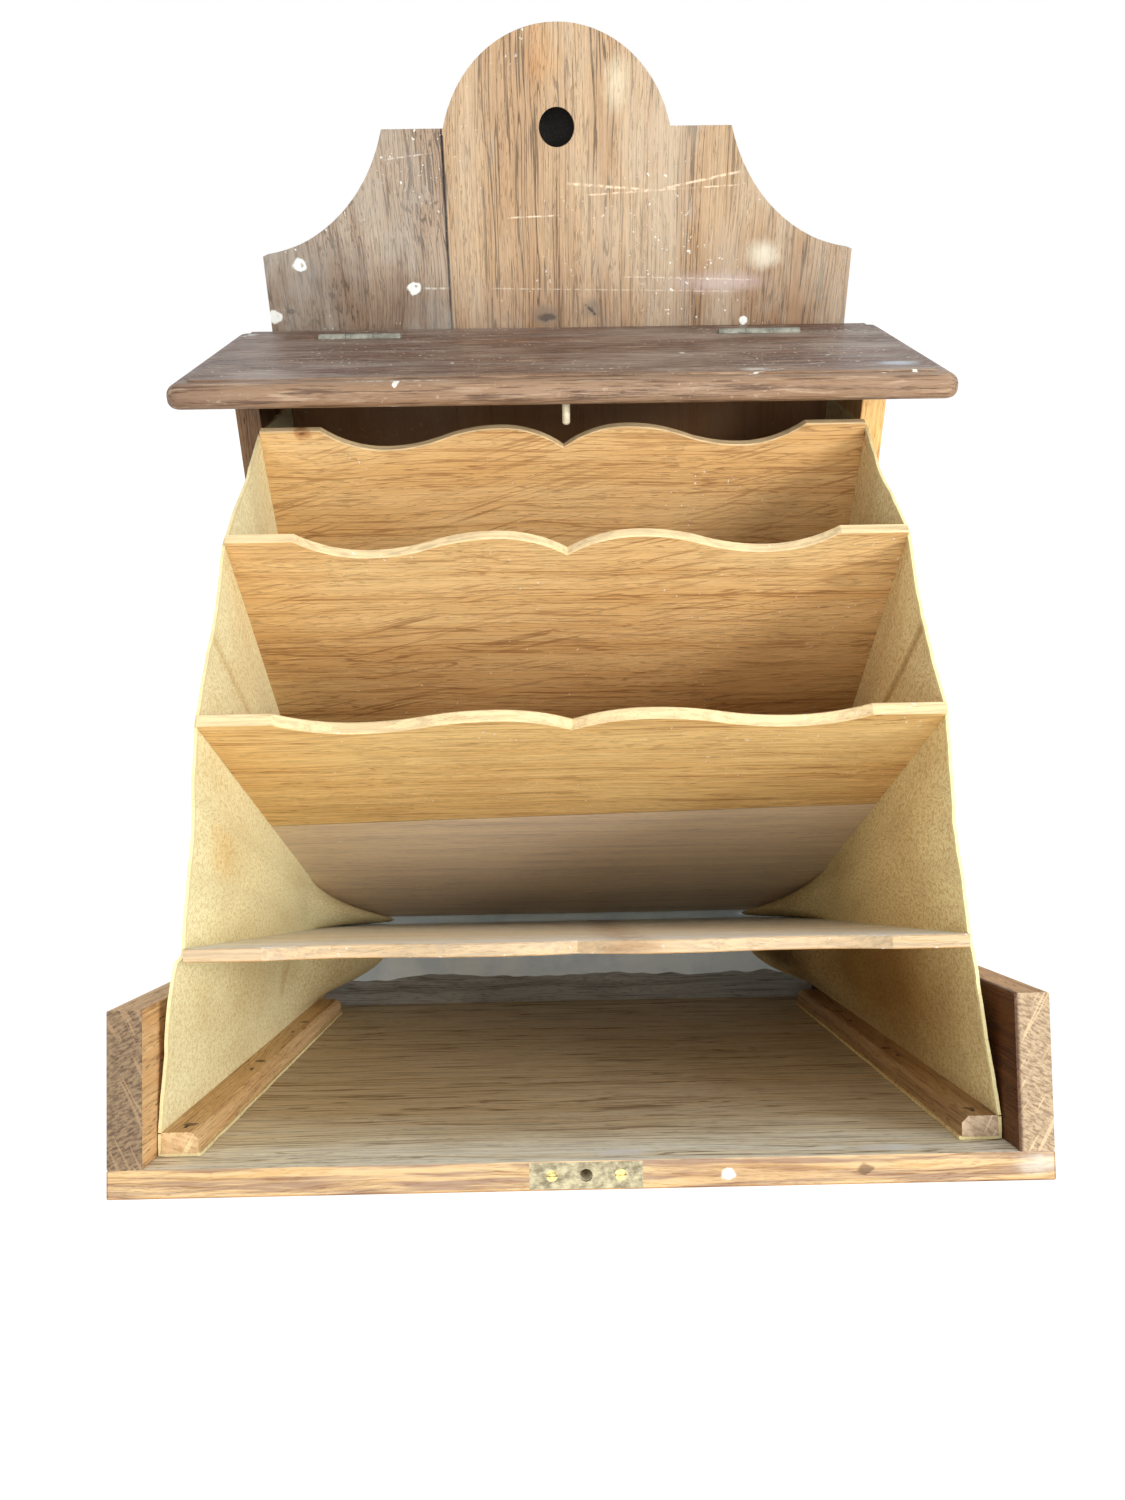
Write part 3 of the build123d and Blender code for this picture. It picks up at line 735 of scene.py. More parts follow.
@dataclass(frozen=True)
class Blot:
    """A stain on the leather, placed on its flat coordinates in millimetres; two on the right are partly
    painted shade.

    Attributes:
        web: the number of the web it is on.
        across: how far along the web.
        up: how far above its foot.
        wide: half its width.
        high: half its height.
        colour: what the leather is multiplied by.
        strength: how much it changes.
    """

    web: int
    across: float
    up: float
    wide: float
    high: float
    colour: Colour
    strength: float = 0.8


@dataclass(frozen=True)
class Suede:
    """Thin undyed leather, its napped side out, read from the sheet's own flat coordinates.

    Attributes:
        name: the material's name.
        light: the ground.
        mid: the darker mottling.
        stain: the soiling, also used for the painted shade beside the fold.
        edge: the raw cut edge, also used for the painted highlight along the fold.
        ridge: how strongly the painted highlight and shade of the fold show.
        blots: its stains.
    """

    # How many features there are to the metre: the nap, the mottling and the slow soiling.
    NAP = (820.0, 620.0, 1.0)
    MOTTLE = (380.0, 300.0, 1.0)
    SOIL = (11.3, 5.7, 1.0)
    # Where a web is folded, with its painted highlight, and where the painted shade beside the fold lies,
    # as shares of its width.
    FOLD = 0.5
    VALLEY = 0.55

    name: str
    light: Colour
    mid: Colour
    stain: Colour
    edge: Colour = (252, 232, 160)
    ridge: float = 0.5
    blots: tuple[Blot, ...] = ()

    def material(self) -> bpy.types.Material:
        """The finish as a material."""
        graph = Graph(self.name)
        flat = graph.node("ShaderNodeUVMap", {}, uv_map="flat").outputs[0]
        fold = graph.node("ShaderNodeUVMap", {}, uv_map="fold").outputs[0]
        share = graph.node("ShaderNodeSeparateXYZ", {0: fold})
        nap = graph.noise(graph.scaled(flat, self.NAP), 1.0, 3.0, 0.75)
        mottle = graph.noise(graph.scaled(flat, self.MOTTLE), 1.0, 4.0, 0.7)
        slow = graph.noise(graph.scaled(flat, self.SOIL), 1.0, 5.0, 0.65)
        tone = graph.math("ADD", graph.times(nap, 0.5), graph.times(mottle, 0.5))
        colour = graph.ramp(tone, ((0.43, self.mid), (0.53, self.light)))
        colour = graph.tint(colour, graph.remap(slow, 0.42, 0.7, 0.0, 0.4), self.stain, "MULTIPLY")
        up = graph.node("ShaderNodeSeparateXYZ", {0: flat}).outputs[1]
        wander = graph.remap(mottle, 0.3, 0.7, -0.02, 0.02)
        low = graph.remap(graph.math("ADD", up, wander), 0.15, 0.03, 0.0, 0.35)
        colour = graph.tint(colour, low, self.stain, "MULTIPLY")
        uneven = graph.warp(flat, (90, 90, 1), (0.02, 0.02, 0.0))
        for blot in self.blots:
            squash = (1 / (blot.wide * MM), 1 / (blot.high * MM), 0.0)
            centre = ((WEB_APART * blot.web + blot.across * MM) * squash[0], blot.up * MM * squash[1], 0.0)
            away = graph.reach("DISTANCE", graph.scaled(uneven, squash), centre)
            stained = graph.remap(away, 1.0, 0.2, 0.0, blot.strength)
            colour = graph.tint(colour, stained, blot.colour, "MULTIPLY")
        across, rise = share.outputs[0], share.outputs[1]
        # Painted highlight along the fold and painted shade beside it, on the creased web only.
        line = graph.remap(graph.off(across, self.FOLD), 0.014, 0.002, 0.0, self.ridge)
        colour = graph.tint(colour, line, self.edge)
        worn = graph.remap(graph.off(across, self.VALLEY), 0.045, 0.005, 0.0, 1.2 * self.ridge)
        colour = graph.tint(colour, worn, self.stain, "MULTIPLY")
        raw = graph.remap(rise, 0.9925, 0.996, 0.0, 0.75)
        colour = graph.tint(colour, raw, self.edge)
        return graph.finish(colour, 0.93, Specular_IOR_Level=0.2, Normal=graph.bump(tone, 1.6 * MM, 0.8))


@dataclass(frozen=True)
class LiningCloth:
    """Pale cloth with a fine plain weave, read from its flat coordinates; its faint blue is painted
    skylight.

    Attributes:
        name: the material's name.
        ground: the clean cloth.
        shadow: the dirt, and the shade between its threads.
        thread: how far it is from one thread to the next but one, in millimetres.
    """

    name: str = "lining_cloth"
    ground: Colour = (246, 254, 255)
    shadow: Colour = (224, 236, 244)
    thread: float = 0.7

    def material(self) -> bpy.types.Material:
        """The finish as a material."""
        graph = Graph(self.name)
        flat = graph.node("ShaderNodeUVMap", {}, uv_map="flat").outputs[0]
        parts = graph.node("ShaderNodeSeparateXYZ", {0: flat})
        turn = 2 * math.pi / (self.thread * MM)
        threads = [graph.math("SINE", graph.times(parts.outputs[axis], turn)) for axis in (0, 1)]
        weave = graph.times(*threads)
        dirt = graph.noise(flat, 38.0, 4.0, 0.6)
        colour = graph.ramp(dirt, ((0.34, self.shadow), (0.56, self.ground)))
        colour = graph.tint(colour, graph.remap(weave, -1.0, 1.0, 0.22, 0.0), self.shadow)
        return graph.finish(colour, 0.9, Normal=graph.bump(weave, 0.2 * MM, 0.4))


def dress(finish: Oak | Metal, *nodes: str) -> None:
    """Gives CAD nodes one finish.

    Args:
        finish: what they get.
        nodes: the nodes' names.
    """
    material = finish.material()
    for name in nodes:
        node = frame["nodes"][name]
        for slot in node.material_slots:
            slot.material = material
        LOG.info("%s is dressed in %s", name, material.name)


@dataclass
class Sheet:
    """A sheet of even thickness, made on a grid of points that lie in its middle.

    Attributes:
        name: the piece's name.
        rows: points of the middle surface, one list per column of the grid.
        normals: the surface's direction at each of those points.
        thickness: in metres.
        origin: where its flat coordinates start across, in metres.
        shares: how far across each column is, from 0 to 1.
    """

    name: str
    rows: list[list[Vector]]
    normals: list[list[Vector]]
    thickness: float
    origin: float = 0.0
    shares: list[float] | None = None

    @property
    def width(self) -> float:
        """The flat width: the longest run across the columns."""
        count = len(self.rows[0])
        return max(sum((b[row] - a[row]).length for a, b in zip(self.rows, self.rows[1:]))
                   for row in range(count))

    @property
    def length(self) -> float:
        """The flat length: the longest run up a column."""
        return max(sum((b - a).length for a, b in zip(column, column[1:])) for column in self.rows)

    @property
    def area(self) -> float:
        """The flat area, cell by cell."""
        total = 0.0
        for left, right in zip(self.rows, self.rows[1:]):
            for low in range(len(left) - 1):
                first = (right[low + 1] - left[low]).cross(left[low + 1] - right[low])
                total += first.length / 2
        return total

    def build(self, material: bpy.types.Material) -> bpy.types.Object:
        """Makes the closed mesh, with a UV map of its flat coordinates in metres.

        Args:
            material: the sheet's finish.

        Returns:
            The new object, at the origin.
        """
        mesh = bmesh.new()
        flat_layer = mesh.loops.layers.uv.new("flat")
        fold_layer = mesh.loops.layers.uv.new("fold")
        flat: dict[bmesh.types.BMVert, tuple[float, float]] = {}
        fold: dict[bmesh.types.BMVert, tuple[float, float]] = {}
        sides: list[list[list[bmesh.types.BMVert]]] = []
        for sign in (-0.5, 0.5):
            grid = []
            across = self.origin
            for number, (column, turned) in enumerate(zip(self.rows, self.normals)):
                if number:
                    across += (column[-1] - self.rows[number - 1][-1]).length
                up = 0.0
                verts = []
                for row, (point, normal) in enumerate(zip(column, turned)):
                    if row:
                        up += (point - column[row - 1]).length
                    vert = mesh.verts.new(point + normal * (sign * self.thickness))
                    flat[vert] = (across, up)
                    fold[vert] = (self.shares[number] if self.shares else 0.0, row / (len(column) - 1))
                    verts.append(vert)
                grid.append(verts)
            sides.append(grid)
        columns, count = len(self.rows), len(self.rows[0])
        for grid in sides:
            for left, right in zip(grid, grid[1:]):
                for row in range(count - 1):
                    mesh.faces.new((left[row], right[row], right[row + 1], left[row + 1]))
        near, far = sides
        for row in range(count - 1):
            for column in (0, columns - 1):
                mesh.faces.new((near[column][row], near[column][row + 1], far[column][row + 1],
                                far[column][row]))
        for column in range(columns - 1):
            for row in (0, count - 1):
                mesh.faces.new((near[column][row], far[column][row], far[column + 1][row],
                                near[column + 1][row]))
        bmesh.ops.recalc_face_normals(mesh, faces=mesh.faces)
        for face in mesh.faces:
            face.smooth = True
            for loop in face.loops:
                loop[flat_layer].uv = flat[loop.vert]
                loop[fold_layer].uv = fold[loop.vert]
        data = bpy.data.meshes.new(self.name)
        mesh.to_mesh(data)
        mesh.free()
        data.materials.append(material)
        data.set_sharp_from_angle(angle=math.radians(50))
        piece = bpy.data.objects.new(self.name, data)
        bpy.context.scene.collection.objects.link(piece)
        return piece


def grid_normals(rows: list[list[Vector]], outward: Vector) -> list[list[Vector]]:
    """The direction of a grid surface at each point, from its neighbours.

    Args:
        rows: points, one list per column.
        outward: roughly which way the normals should go.

    Returns:
        Unit normals in the same order.
    """
    last_column, last_row = len(rows) - 1, len(rows[0]) - 1
    normals = []
    for column in range(last_column + 1):
        line = []
        for row in range(last_row + 1):
            across = rows[min(column + 1, last_column)][row] - rows[max(column - 1, 0)][row]
            up = rows[column][min(row + 1, last_row)] - rows[column][max(row - 1, 0)]
            normal = across.cross(up).normalized()
            line.append(normal if normal.dot(outward) > 0 else -normal)
        normals.append(line)
    return normals


class Side(Enum):
    """The two sides of the rack."""

    LEFT = -1
    RIGHT = 1

    @property
    def word(self) -> str:
        """The side's name in a piece's name."""
        return self.name.lower()


@dataclass(frozen=True)
class Station:
    """A line up a leather side where something holds it.

    Attributes:
        body: what holds it.
        lean: degrees.
        offset: behind the hinge line's plane, in metres.
        reach: how far from the middle of the rack, in metres.
        top: how far up the leather's raw edge is, in metres.
    """

    body: str
    lean: float
    offset: float
    reach: float
    top: float


@dataclass
class LeatherSide:
    """One concertina side: a flap glued to the case, four webs to the dividers, one to the front.

    Attributes:
        side: left or right.
        finish: the leather.
        last_bow: how soon the last web swings out to the cheek; 1 is evenly.
        crease: how far the fold in the middle of each web stands in, in metres.
        thickness: of the leather.
        foot: how far up the webs and the flap begin.
        glued_reach: the flap's distance from the middle of the rack.
        door_reach: the same where the leather meets the front.
        hung_reach: the same at the dividers.
        flap_top: how far up the flap's upper edge is.
        web_top: the webs' upper edge at the dividers.
        door_top: their upper edge at the front.
        flap_depth: how far back in the case the flap reaches.
        case_edge: where the flap ends and the first web begins.
        batten_top: how far the batten's inner face is before the hinge line's plane.
        panel_face: the same for the panel's inner face.
        flange_inner: how far in the flange's inner edge is.
        flange_foot: how far up the flange begins.
        sag: how far a raw edge sags between its ends.
        pleat: how far the pleat near a web's foot stands in, at most.
        pleat_top: how far up that pleat ends.
        pleat_run: the height over which it grows to its whole depth.
        pleat_power: how the pleat's depth grows; 1 is evenly.
        face_gap: how wide a strip beside each divider stays out of the pleat.
        bend_height: a height up a web, in metres; not used.
        end_share: the share of a web's width at each end that stays flat.
        columns: cells across a web.
        row_count: cells up a web.
        flap_grid: cells across and up the flap.
        flange_grid: cells across and up the flange.
    """

    # The index of the web whose fold is painted with a highlight and shade.
    CREASED = 2

    side: Side
    finish: bpy.types.Material
    last_bow: float
    crease: float
    thickness: float = 1.5 * MM
    foot: float = 22.0 * MM
    glued_reach: float = 184.2 * MM
    door_reach: float = 183.65 * MM
    hung_reach: float = 172.9 * MM
    flap_top: float = 371.0 * MM
    web_top: float = 386.5 * MM
    door_top: float = 384.7 * MM
    flap_depth: float = 83.8 * MM
    case_edge: float = 0.8 * MM
    batten_top: float = 56.4 * MM
    panel_face: float = 66.0 * MM
    flange_inner: float = 165.6 * MM
    flange_foot: float = 51.0 * MM
    sag: float = 3.0 * MM
    pleat: float = 37.5 * MM
    pleat_top: float = 138.0 * MM
    pleat_run: float = 106.0 * MM
    pleat_power: float = 1.25
    face_gap: float = 3.9 * MM
    bend_height: float = 330.0 * MM
    end_share: float = 0.04
    columns: int = 22
    row_count: int = 60
    flap_grid: tuple[int, int] = (12, 24)
    flange_grid: tuple[int, int] = (8, 36)

    @property
    def outward(self) -> Vector:
        """The direction away from the rack, on this side."""
        return Vector((self.side.value, 0.0, 0.0))

    def stations(self) -> list[Station]:
        """The lines that hold the webs, from the case to the front."""
        found = [Station("case", 0.0, self.case_edge, self.glued_reach, self.flap_top)]
        for number, (lean, offset) in enumerate(zip(DIVIDER_LEANS, DIVIDER_OFFSETS)):
            found.append(Station(f"divider_{number + 1}", lean, offset, self.hung_reach, self.web_top))
        found.append(Station("drop_front", OPEN_LEAN, -self.batten_top, self.door_reach, self.door_top))
        return found

    def pleat_depth(self, height: float) -> float:
        """How far the pleat stands in at a height up the web."""
        if height >= self.pleat_top:
            return 0.0
        return self.pleat * ((self.pleat_top - height) / self.pleat_run) ** self.pleat_power

    def ragged(self, first: int, share: float) -> float:
        """The unevenness of the raw upper edge."""
        place = Vector((self.side.value * 3.1, first + share * 4.0, 0.0))
        return 1.1 * MM * noise.noise(place * 2.3) + 0.8 * MM * noise.noise(place * 9.0)

    def point(self, index: int, a: Station, b: Station, share: float, rise: float) -> Vector:
        """A point of one web's middle surface.

        Args:
            index: the web's number, from the case.
            a: the station it starts at.
            b: the station it ends at.
            share: how far across, from 0 to 1.
            rise: how far up, from 0 to 1.

        Returns:
            The point.
        """
        top = a.top + (b.top - a.top) * share - self.sag * math.sin(math.pi * share)
        top += self.ragged(index, share) * math.sin(math.pi * share) ** 0.5
        height = self.foot + (top - self.foot) * rise
        lean = a.lean + (b.lean - a.lean) * share
        offset = a.offset + (b.offset - a.offset) * share
        last = b.body == "drop_front"
        reach = a.reach + (b.reach - a.reach) * (share ** self.last_bow if last else share)
        wedge = height * math.radians(b.lean - a.lean) + (a.offset - b.offset)
        edge = min(self.face_gap / max(wedge, 1e-4), 0.45)
        inside = min(max((share - edge) / (1 - 2 * edge), 0.0), 1.0)
        if last:
            reach -= self.pleat_depth(height) * math.sin(math.pi * inside ** 0.6) ** 0.6
        elif index:
            reach -= self.pleat_depth(height) * math.sqrt(max(math.sin(math.pi * inside), 0.0))
        if index and not last:
            reach -= self.crease * max(0.0, 1 - abs(2 * share - 1)) * min(1.0, rise * 1.5)
        bellied = noise.noise(Vector((share * 3 + index * 7, height * 14, self.side.value)))
        ripple = noise.noise(Vector((share * 9 + index * 5, height * 60, self.side.value)))
        reach += (1.3 * bellied + 0.35 * ripple) * MM * math.sin(math.pi * share)
        return leaned(self.side.value * reach, offset, height, lean)

    def web(self, index: int, a: Station, b: Station) -> bpy.types.Object:
        """Builds one web between what holds its two ends."""
        shares = [0.0]
        for step in range(self.columns + 1):
            eased = 0.5 - 0.5 * math.cos(math.pi * step / self.columns)
            shares.append(self.end_share + (1 - 2 * self.end_share) * eased)
        shares.append(1.0)
        rows = [[self.point(index, a, b, share, rise / self.row_count)
                 for rise in range(self.row_count + 1)] for share in shares]
        sheet = Sheet(f"leather_web_{index + 1}_{self.side.word}", rows,
                      grid_normals(rows, self.outward), self.thickness, WEB_APART * index,
                      shares if index == self.CREASED else None)
        piece = sheet.build(self.finish)
        if b.body == "drop_front":
            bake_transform(piece)
        else:
            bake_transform(piece)
        self.declare(piece, sheet)
        return piece

    def declare(self, piece: bpy.types.Object, sheet: Sheet) -> None:
        """Hides the CAD gusset that the leather replaces, and logs the piece's flat size."""
        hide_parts(f"gusset_{self.side.word}")
        sheet.width
        sheet.length
        min(sheet.area, sheet.width * sheet.length)
        LOG.info("%s: flat %.0f x %.0f mm", piece.name, sheet.width / MM, sheet.length / MM)

    def flap(self) -> bpy.types.Object:
        """The flap that is glued to the inside of the case."""
        columns, cells = self.flap_grid
        rows = []
        for step in range(columns + 1):
            offset = self.case_edge + (self.flap_depth - self.case_edge) * (1 - step / columns)
            run = self.flap_top + self.ragged(9, step / columns) - self.foot
            rows.append([leaned(self.side.value * self.glued_reach, offset, self.foot + run * up / cells,
                                0.0) for up in range(cells + 1)])
        sheet = Sheet(f"leather_flap_{self.side.word}", rows, grid_normals(rows, self.outward),
                      self.thickness, 6 * WEB_APART)
        piece = sheet.build(self.finish)
        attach(piece, "case")
        self.declare(piece, sheet)
        return piece

    def flange(self) -> bpy.types.Object:
        """The edge of the leather that the batten clamps to the front panel."""
        columns, cells = self.flange_grid
        heights = [self.flange_foot + (self.door_top - self.flange_foot) * up / cells
                   for up in range(cells + 1)]
        rows = []
        for step in range(columns + 1):
            line = []
            for height in heights:
                inner = self.flange_inner + 0.6 * MM * noise.noise(Vector((height * 60, 0.0, 4.0)))
                reach = inner + (self.door_reach - inner) * step / columns
                line.append(leaned(self.side.value * reach, -self.panel_face, height, OPEN_LEAN))
            rows.append(line)
        # It turns up beside the batten to meet the last web.
        for rise in (3.0, 6.0, 9.0):
            rows.append([leaned(self.side.value * self.door_reach, -self.panel_face + rise * MM, height,
                                OPEN_LEAN) for height in heights])
        behind = leaned(0.0, 1.0, 0.0, OPEN_LEAN) - leaned(0.0, 0.0, 0.0, OPEN_LEAN)
        sheet = Sheet(f"leather_flange_{self.side.word}", rows,
                      grid_normals(rows, behind - self.outward * 0.9), self.thickness, 7 * WEB_APART)
        piece = sheet.build(self.finish)
        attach(piece, "drop_front")
        self.declare(piece, sheet)
        return piece

    def build(self) -> None:
        """Builds every piece of this side."""
        stations = self.stations()
        for index, (a, b) in enumerate(zip(stations, stations[1:])):
            self.web(index, a, b)
        self.flap()
        self.flange()


@dataclass
class Lining:
    """The strip of cloth glued over the joint between the base board and the front's rail.

    Attributes:
        finish: the cloth.
        half_width: half its width across the rack.
        board: how thick the boards under it are.
        back: how far behind the hinge line it begins.
        front: how far before the hinge line it ends.
        joint: how far from the hinge line the boards' edges are.
        thickness: of the cloth.
        glue: of the film under it.
        torn: how ragged its front edge is.
        sunk: how far it hangs into the joint.
        columns: cells across.
        steps: cells over each board and over the joint.
    """

    finish: bpy.types.Material
    half_width: float = 167.5 * MM
    board: float = 15.0 * MM
    back: float = 42.0 * MM
    front: float = 50.0 * MM
    joint: float = 1.0 * MM
    thickness: float = 0.7 * MM
    glue: float = 0.05 * MM
    torn: float = 6.0 * MM
    sunk: float = 1.5 * MM
    columns: int = 96
    steps: int = 16

    def spine(self, x: float) -> list[Vector]:
        """Points from the back edge to the torn front edge, at one place across."""
        lift = self.board + self.thickness / 2 + self.glue
        rag = noise.noise(Vector((x * 16, 3.0, 0.0))) * 0.7 + noise.noise(Vector((x * 70, 9.0, 0.0))) * 0.35
        front = min(self.front, self.front - self.torn * (0.5 + rag))
        points = [leaned(x, self.back + (self.joint - self.back) * step / self.steps, lift, 0.0)
                  for step in range(self.steps + 1)]
        rail_start = leaned(x, -self.joint, lift, OPEN_LEAN)
        last = points[-1]
        for step in range(1, self.steps):
            share = step / self.steps
            hang = Vector((0.0, 0.0, -self.sunk * math.sin(math.pi * share)))
            points.append(last.lerp(rail_start, share) + hang)
        points += [leaned(x, -(self.joint + (front - self.joint) * step / self.steps), lift, OPEN_LEAN)
                   for step in range(self.steps + 1)]
        return points

    def build(self) -> bpy.types.Object:
        """Builds the strip over the joint and hides the CAD lining."""
        rows = [self.spine(-self.half_width + 2 * self.half_width * column / self.columns)
                for column in range(self.columns + 1)]
        sheet = Sheet("lining_strip", rows, grid_normals(rows, Vector((0.0, -0.4, 1.0))), self.thickness)
        piece = sheet.build(self.finish)
        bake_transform(piece)
        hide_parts("bottom_lining")
        sheet.width
        sheet.length
        min(sheet.area, sheet.width * sheet.length)
        LOG.info("%s: flat %.0f x %.0f mm", piece.name, sheet.width / MM, sheet.length / MM)
        return piece


class Case:
    """The rear half: backboard, sides, base and the fixed strip of the top."""

    PAINT = (246, 246, 240)
    BOARD = dict(grain=Grain.UP, roughness=0.5, line=2.4, run=300.0, lines=0.85, fine=0.052, pores=0.4,
                 end=(206, 170, 118), end_dark=(150, 116, 80))

    def seam(self, side: Side, top: float) -> Scratch:
        """The dark edge of one board along the seam.

        Args:
            side: which board.
            top: how far up it shows, in millimetres.

        Returns:
            The line.
        """
        x = SEAM_X + 0.4 * side.value
        return Scratch((x, 415), (x, top), 0.8, (52, 40, 32), 1.0, 1.0, gaps=0.1)

    def left_board(self) -> Oak:
        """The narrow left board, browner and greyer, with splashes of paint."""
        return Oak("oak_backboard_left", (190, 168, 144), (170, 142, 116), (104, 88, 72), seed=3.0,
                   band=10.0, wave=30.0, marks=(
                       self.seam(Side.LEFT, 560), Shade(2, 470, 420, (196, 186, 178), 20),
                       Haze((178, 172, 160), 0.5, (22, 22, 12)),
                       Specks(scale=420.0, rarity=0.715, cluster=0.46), UNDER_LID_SHADE,
                       Spot(-166.8, 456.4, 4.6, self.PAINT), Spot(-166, 456.6, 1.5, (176, 160, 140), 0.8),
                       Spot(-94, 441.5, 4.2, self.PAINT, long=1.1),
                       Spot(-93, 442.8, 1.3, (170, 152, 130), 0.8),
                       Spot(-186.5, 424.8, 4.6, (240, 240, 232), 0.85),
                       Spot(-148, 438, 2.2, (96, 84, 74), 0.6), Spot(-176, 429, 2.2, (92, 80, 72), 0.6),
                       Spot(-131, 492, 2.0, (110, 96, 80), 0.6),
                       Scratch((-94, 441.5), (-30, 441), 0.9, strength=0.5),
                       Scratch((-112, 516), (-76, 520), 0.6, strength=0.5)), **self.BOARD)

    def right_board(self) -> Oak:
        """The wide right board with the hanging hole."""
        return Oak("oak_backboard_right", (206, 174, 136), (192, 154, 114), (100, 84, 64), seed=1.0,
                   band=10.0, marks=(
                       self.seam(Side.RIGHT, 530),
                       Spot(-8, 572, 26, (255, 214, 140), 0.55, 0.9, 0.6, "MULTIPLY"),
                       Shade(2, 486, 420, (214, 204, 200), 26),
                       Shade(0, 40, 150, (246, 244, 242), 20),
                       Haze((206, 192, 170), 0.35, (30, 30, 9)),
                       Spot(36, 556, 22, (240, 228, 196), 0.5, 0.95, 0.5),
                       Spot(133, 459, 13, (240, 232, 208), 0.65, 0.95, 1.3),
                       Spot(106, 443, 9, (206, 186, 184), 0.5, 0.9, 5.0),
                       Specks(scale=430.0, rarity=0.725, cluster=0.54), UNDER_LID_SHADE,
                       Spot(-9, 423.6, 10, (128, 110, 92), 0.75, 0.7, 1.3),
                       Spot(-8, 423, 3.2, (80, 68, 60), 0.85, 0.5, 2.2),
                       Spot(21.4, 427.6, 9, (136, 118, 98), 0.8, 0.7),
                       Scratch((17, 431), (25, 423), 1.3, (64, 56, 54), 0.85, 2.0),
                       Scratch((22, 425), (22, 432), 0.8, (84, 74, 68), 0.6, 2.0),
                       Spot(122.9, 418.7, 2.6, self.PAINT),
                       Scratch((4, 502), (66, 497), 1.1, (252, 226, 190)),
                       Scratch((60, 497), (118, 508), 1.0, (252, 226, 190)),
                       Scratch((14, 495), (116, 500), 0.7, (246, 218, 184)),
                       Scratch((-34, 482.5), (4, 484), 0.7, (244, 226, 196)),
                       Scratch((40, 447), (130, 444), 0.6, (232, 214, 190), 0.5),
                       Scratch((-46, 441), (120, 437), 0.6, (226, 210, 186), 0.4)), **self.BOARD)

    def dress(self) -> None:
        """Finishes the case's nodes."""
        dress(self.left_board(), "backboard_left")
        dress(self.right_board(), "backboard_right")
        # Painted light: the two sides are one oak, the left given a dark finish for the shade on it and the
        # right a bright orange one for the sun on it.
        left = Oak("oak_side_left_painted_shade", (150, 112, 76), (120, 86, 58), (78, 52, 34), Grain.UP, seed=5.0,
                   end=(120, 90, 64), end_dark=(80, 58, 42))
        right = Oak("oak_side_right_painted_sun", (250, 206, 138), (238, 186, 116), (196, 140, 80), Grain.UP, seed=6.0,
                    end=(220, 176, 120), end_dark=(170, 126, 80))
        dress(left, "case_side_left")
        dress(right, "case_side_right")
        base = Oak("oak_base", (190, 176, 156), (166, 150, 130), (110, 98, 84), Grain.ACROSS, seed=7.0)
        dress(base, "base_board")
        worn = on_top(Spot(-201, 67, 4, (206, 208, 196), 0.7, long=1.6),
                      Scratch((90, 50.2), (206, 50.2), 0.8, (214, 212, 200), 0.9))
        dress(dark_oak("oak_top_strip", 8.0, *worn), "top_strip")


def dark_oak(name: str, seed: float, *marks: Mark) -> Oak:
    """The dark, hazy oak of the lid and its fixed strip.

    Args:
        name: the material's name.
        seed: shifts the figure.
        marks: what lies on this board alone.

    Returns:
        The finish.
    """
    film = (Haze((152, 136, 124), 0.75, (10, 34, 34)), Haze((84, 50, 38), 0.6, (8, 26, 26), 0.5, 0.68),
            Haze((176, 166, 154), 0.35, (60, 240, 240), 0.52, 0.7),
            Specks((232, 224, 210), 400.0, 0.7, 0.85, 0.48))
    return Oak(name, (136, 102, 84), (104, 74, 60), (50, 32, 26), Grain.ACROSS, seed=seed, band=7.0,
               line=2.0, run=110.0, lines=0.8, pores=0.7, roughness=0.42, marks=film + marks)


class Lid:
    """The lid, paler along its front, and its catch pin."""

    def dress(self) -> None:
        """Finishes the lid's nodes."""
        worn = (Shade(1, -70, -84, (160, 126, 94), 2, 0.75, "MIX"),
                Shade(0, -110, -205, (96, 66, 54), 30, 0.45, "MIX"),
                Haze((72, 46, 32), 0.7, (26, 620, 620), 0.5, 0.62),
                Haze((206, 178, 148), 0.45, (30, 420, 420), 0.54, 0.68))
        pale = (240, 236, 226)
        dabs = on_top(Spot(-90, -87.5, 2.4, pale), Spot(-163, -70, 20, (176, 160, 146), 0.6, 0.9, 1.8),
                      Scratch((-118, -85), (-60, -85), 0.7, pale, 0.8),
                      Spot(105, -72, 6, pale, 0.5, 0.8, 2.0),
                      Spot(186, -60, 9, (190, 198, 206), 0.75, 0.8, 1.8), Spot(190, -80, 2, pale),
                      Spot(172, -82, 1.6, pale, 0.8), Spot(-62, -42, 1.8, pale, 0.8),
                      Spot(70, -20, 2.0, pale, 0.8), Scratch((96, -84), (124, -70), 0.9, pale, 0.8, 4),
                      Scratch((60, -30), (92, -24), 0.6, pale, 0.7, 4),
                      Scratch((150, -36), (160, -26), 0.7, pale, 0.8, 3),
                      Scratch((128, -60), (150, -56), 0.7, pale, 0.7, 3))
        dress(dark_oak("oak_lid", 9.0, *worn, *dabs), "lid")
        pin = Metal("pin_rubbed", (236, 226, 200), (196, 180, 146), 0.15, 0.45)
        dress(pin, "catch_pin")


@dataclass(frozen=True)
class DividerLook:
    """How one divider's oak looks.

    Attributes:
        light: the ground.
        mid: its darker bands.
        dark: the pore lines.
        fleck: how dark the ray flecks are.
        tilt: their angle, in degrees.
        wave: how far the lines wander, in millimetres.
        marks: its knots, glue lines, stains, darkening towards the foot and painted shadow.
        edge: the tone of its shaped upper edge.
    """

    light: Colour
    mid: Colour
    dark: Colour
    fleck: float
    tilt: float
    wave: float
    marks: tuple[Mark, ...]
    edge: Colour = (246, 216, 166)


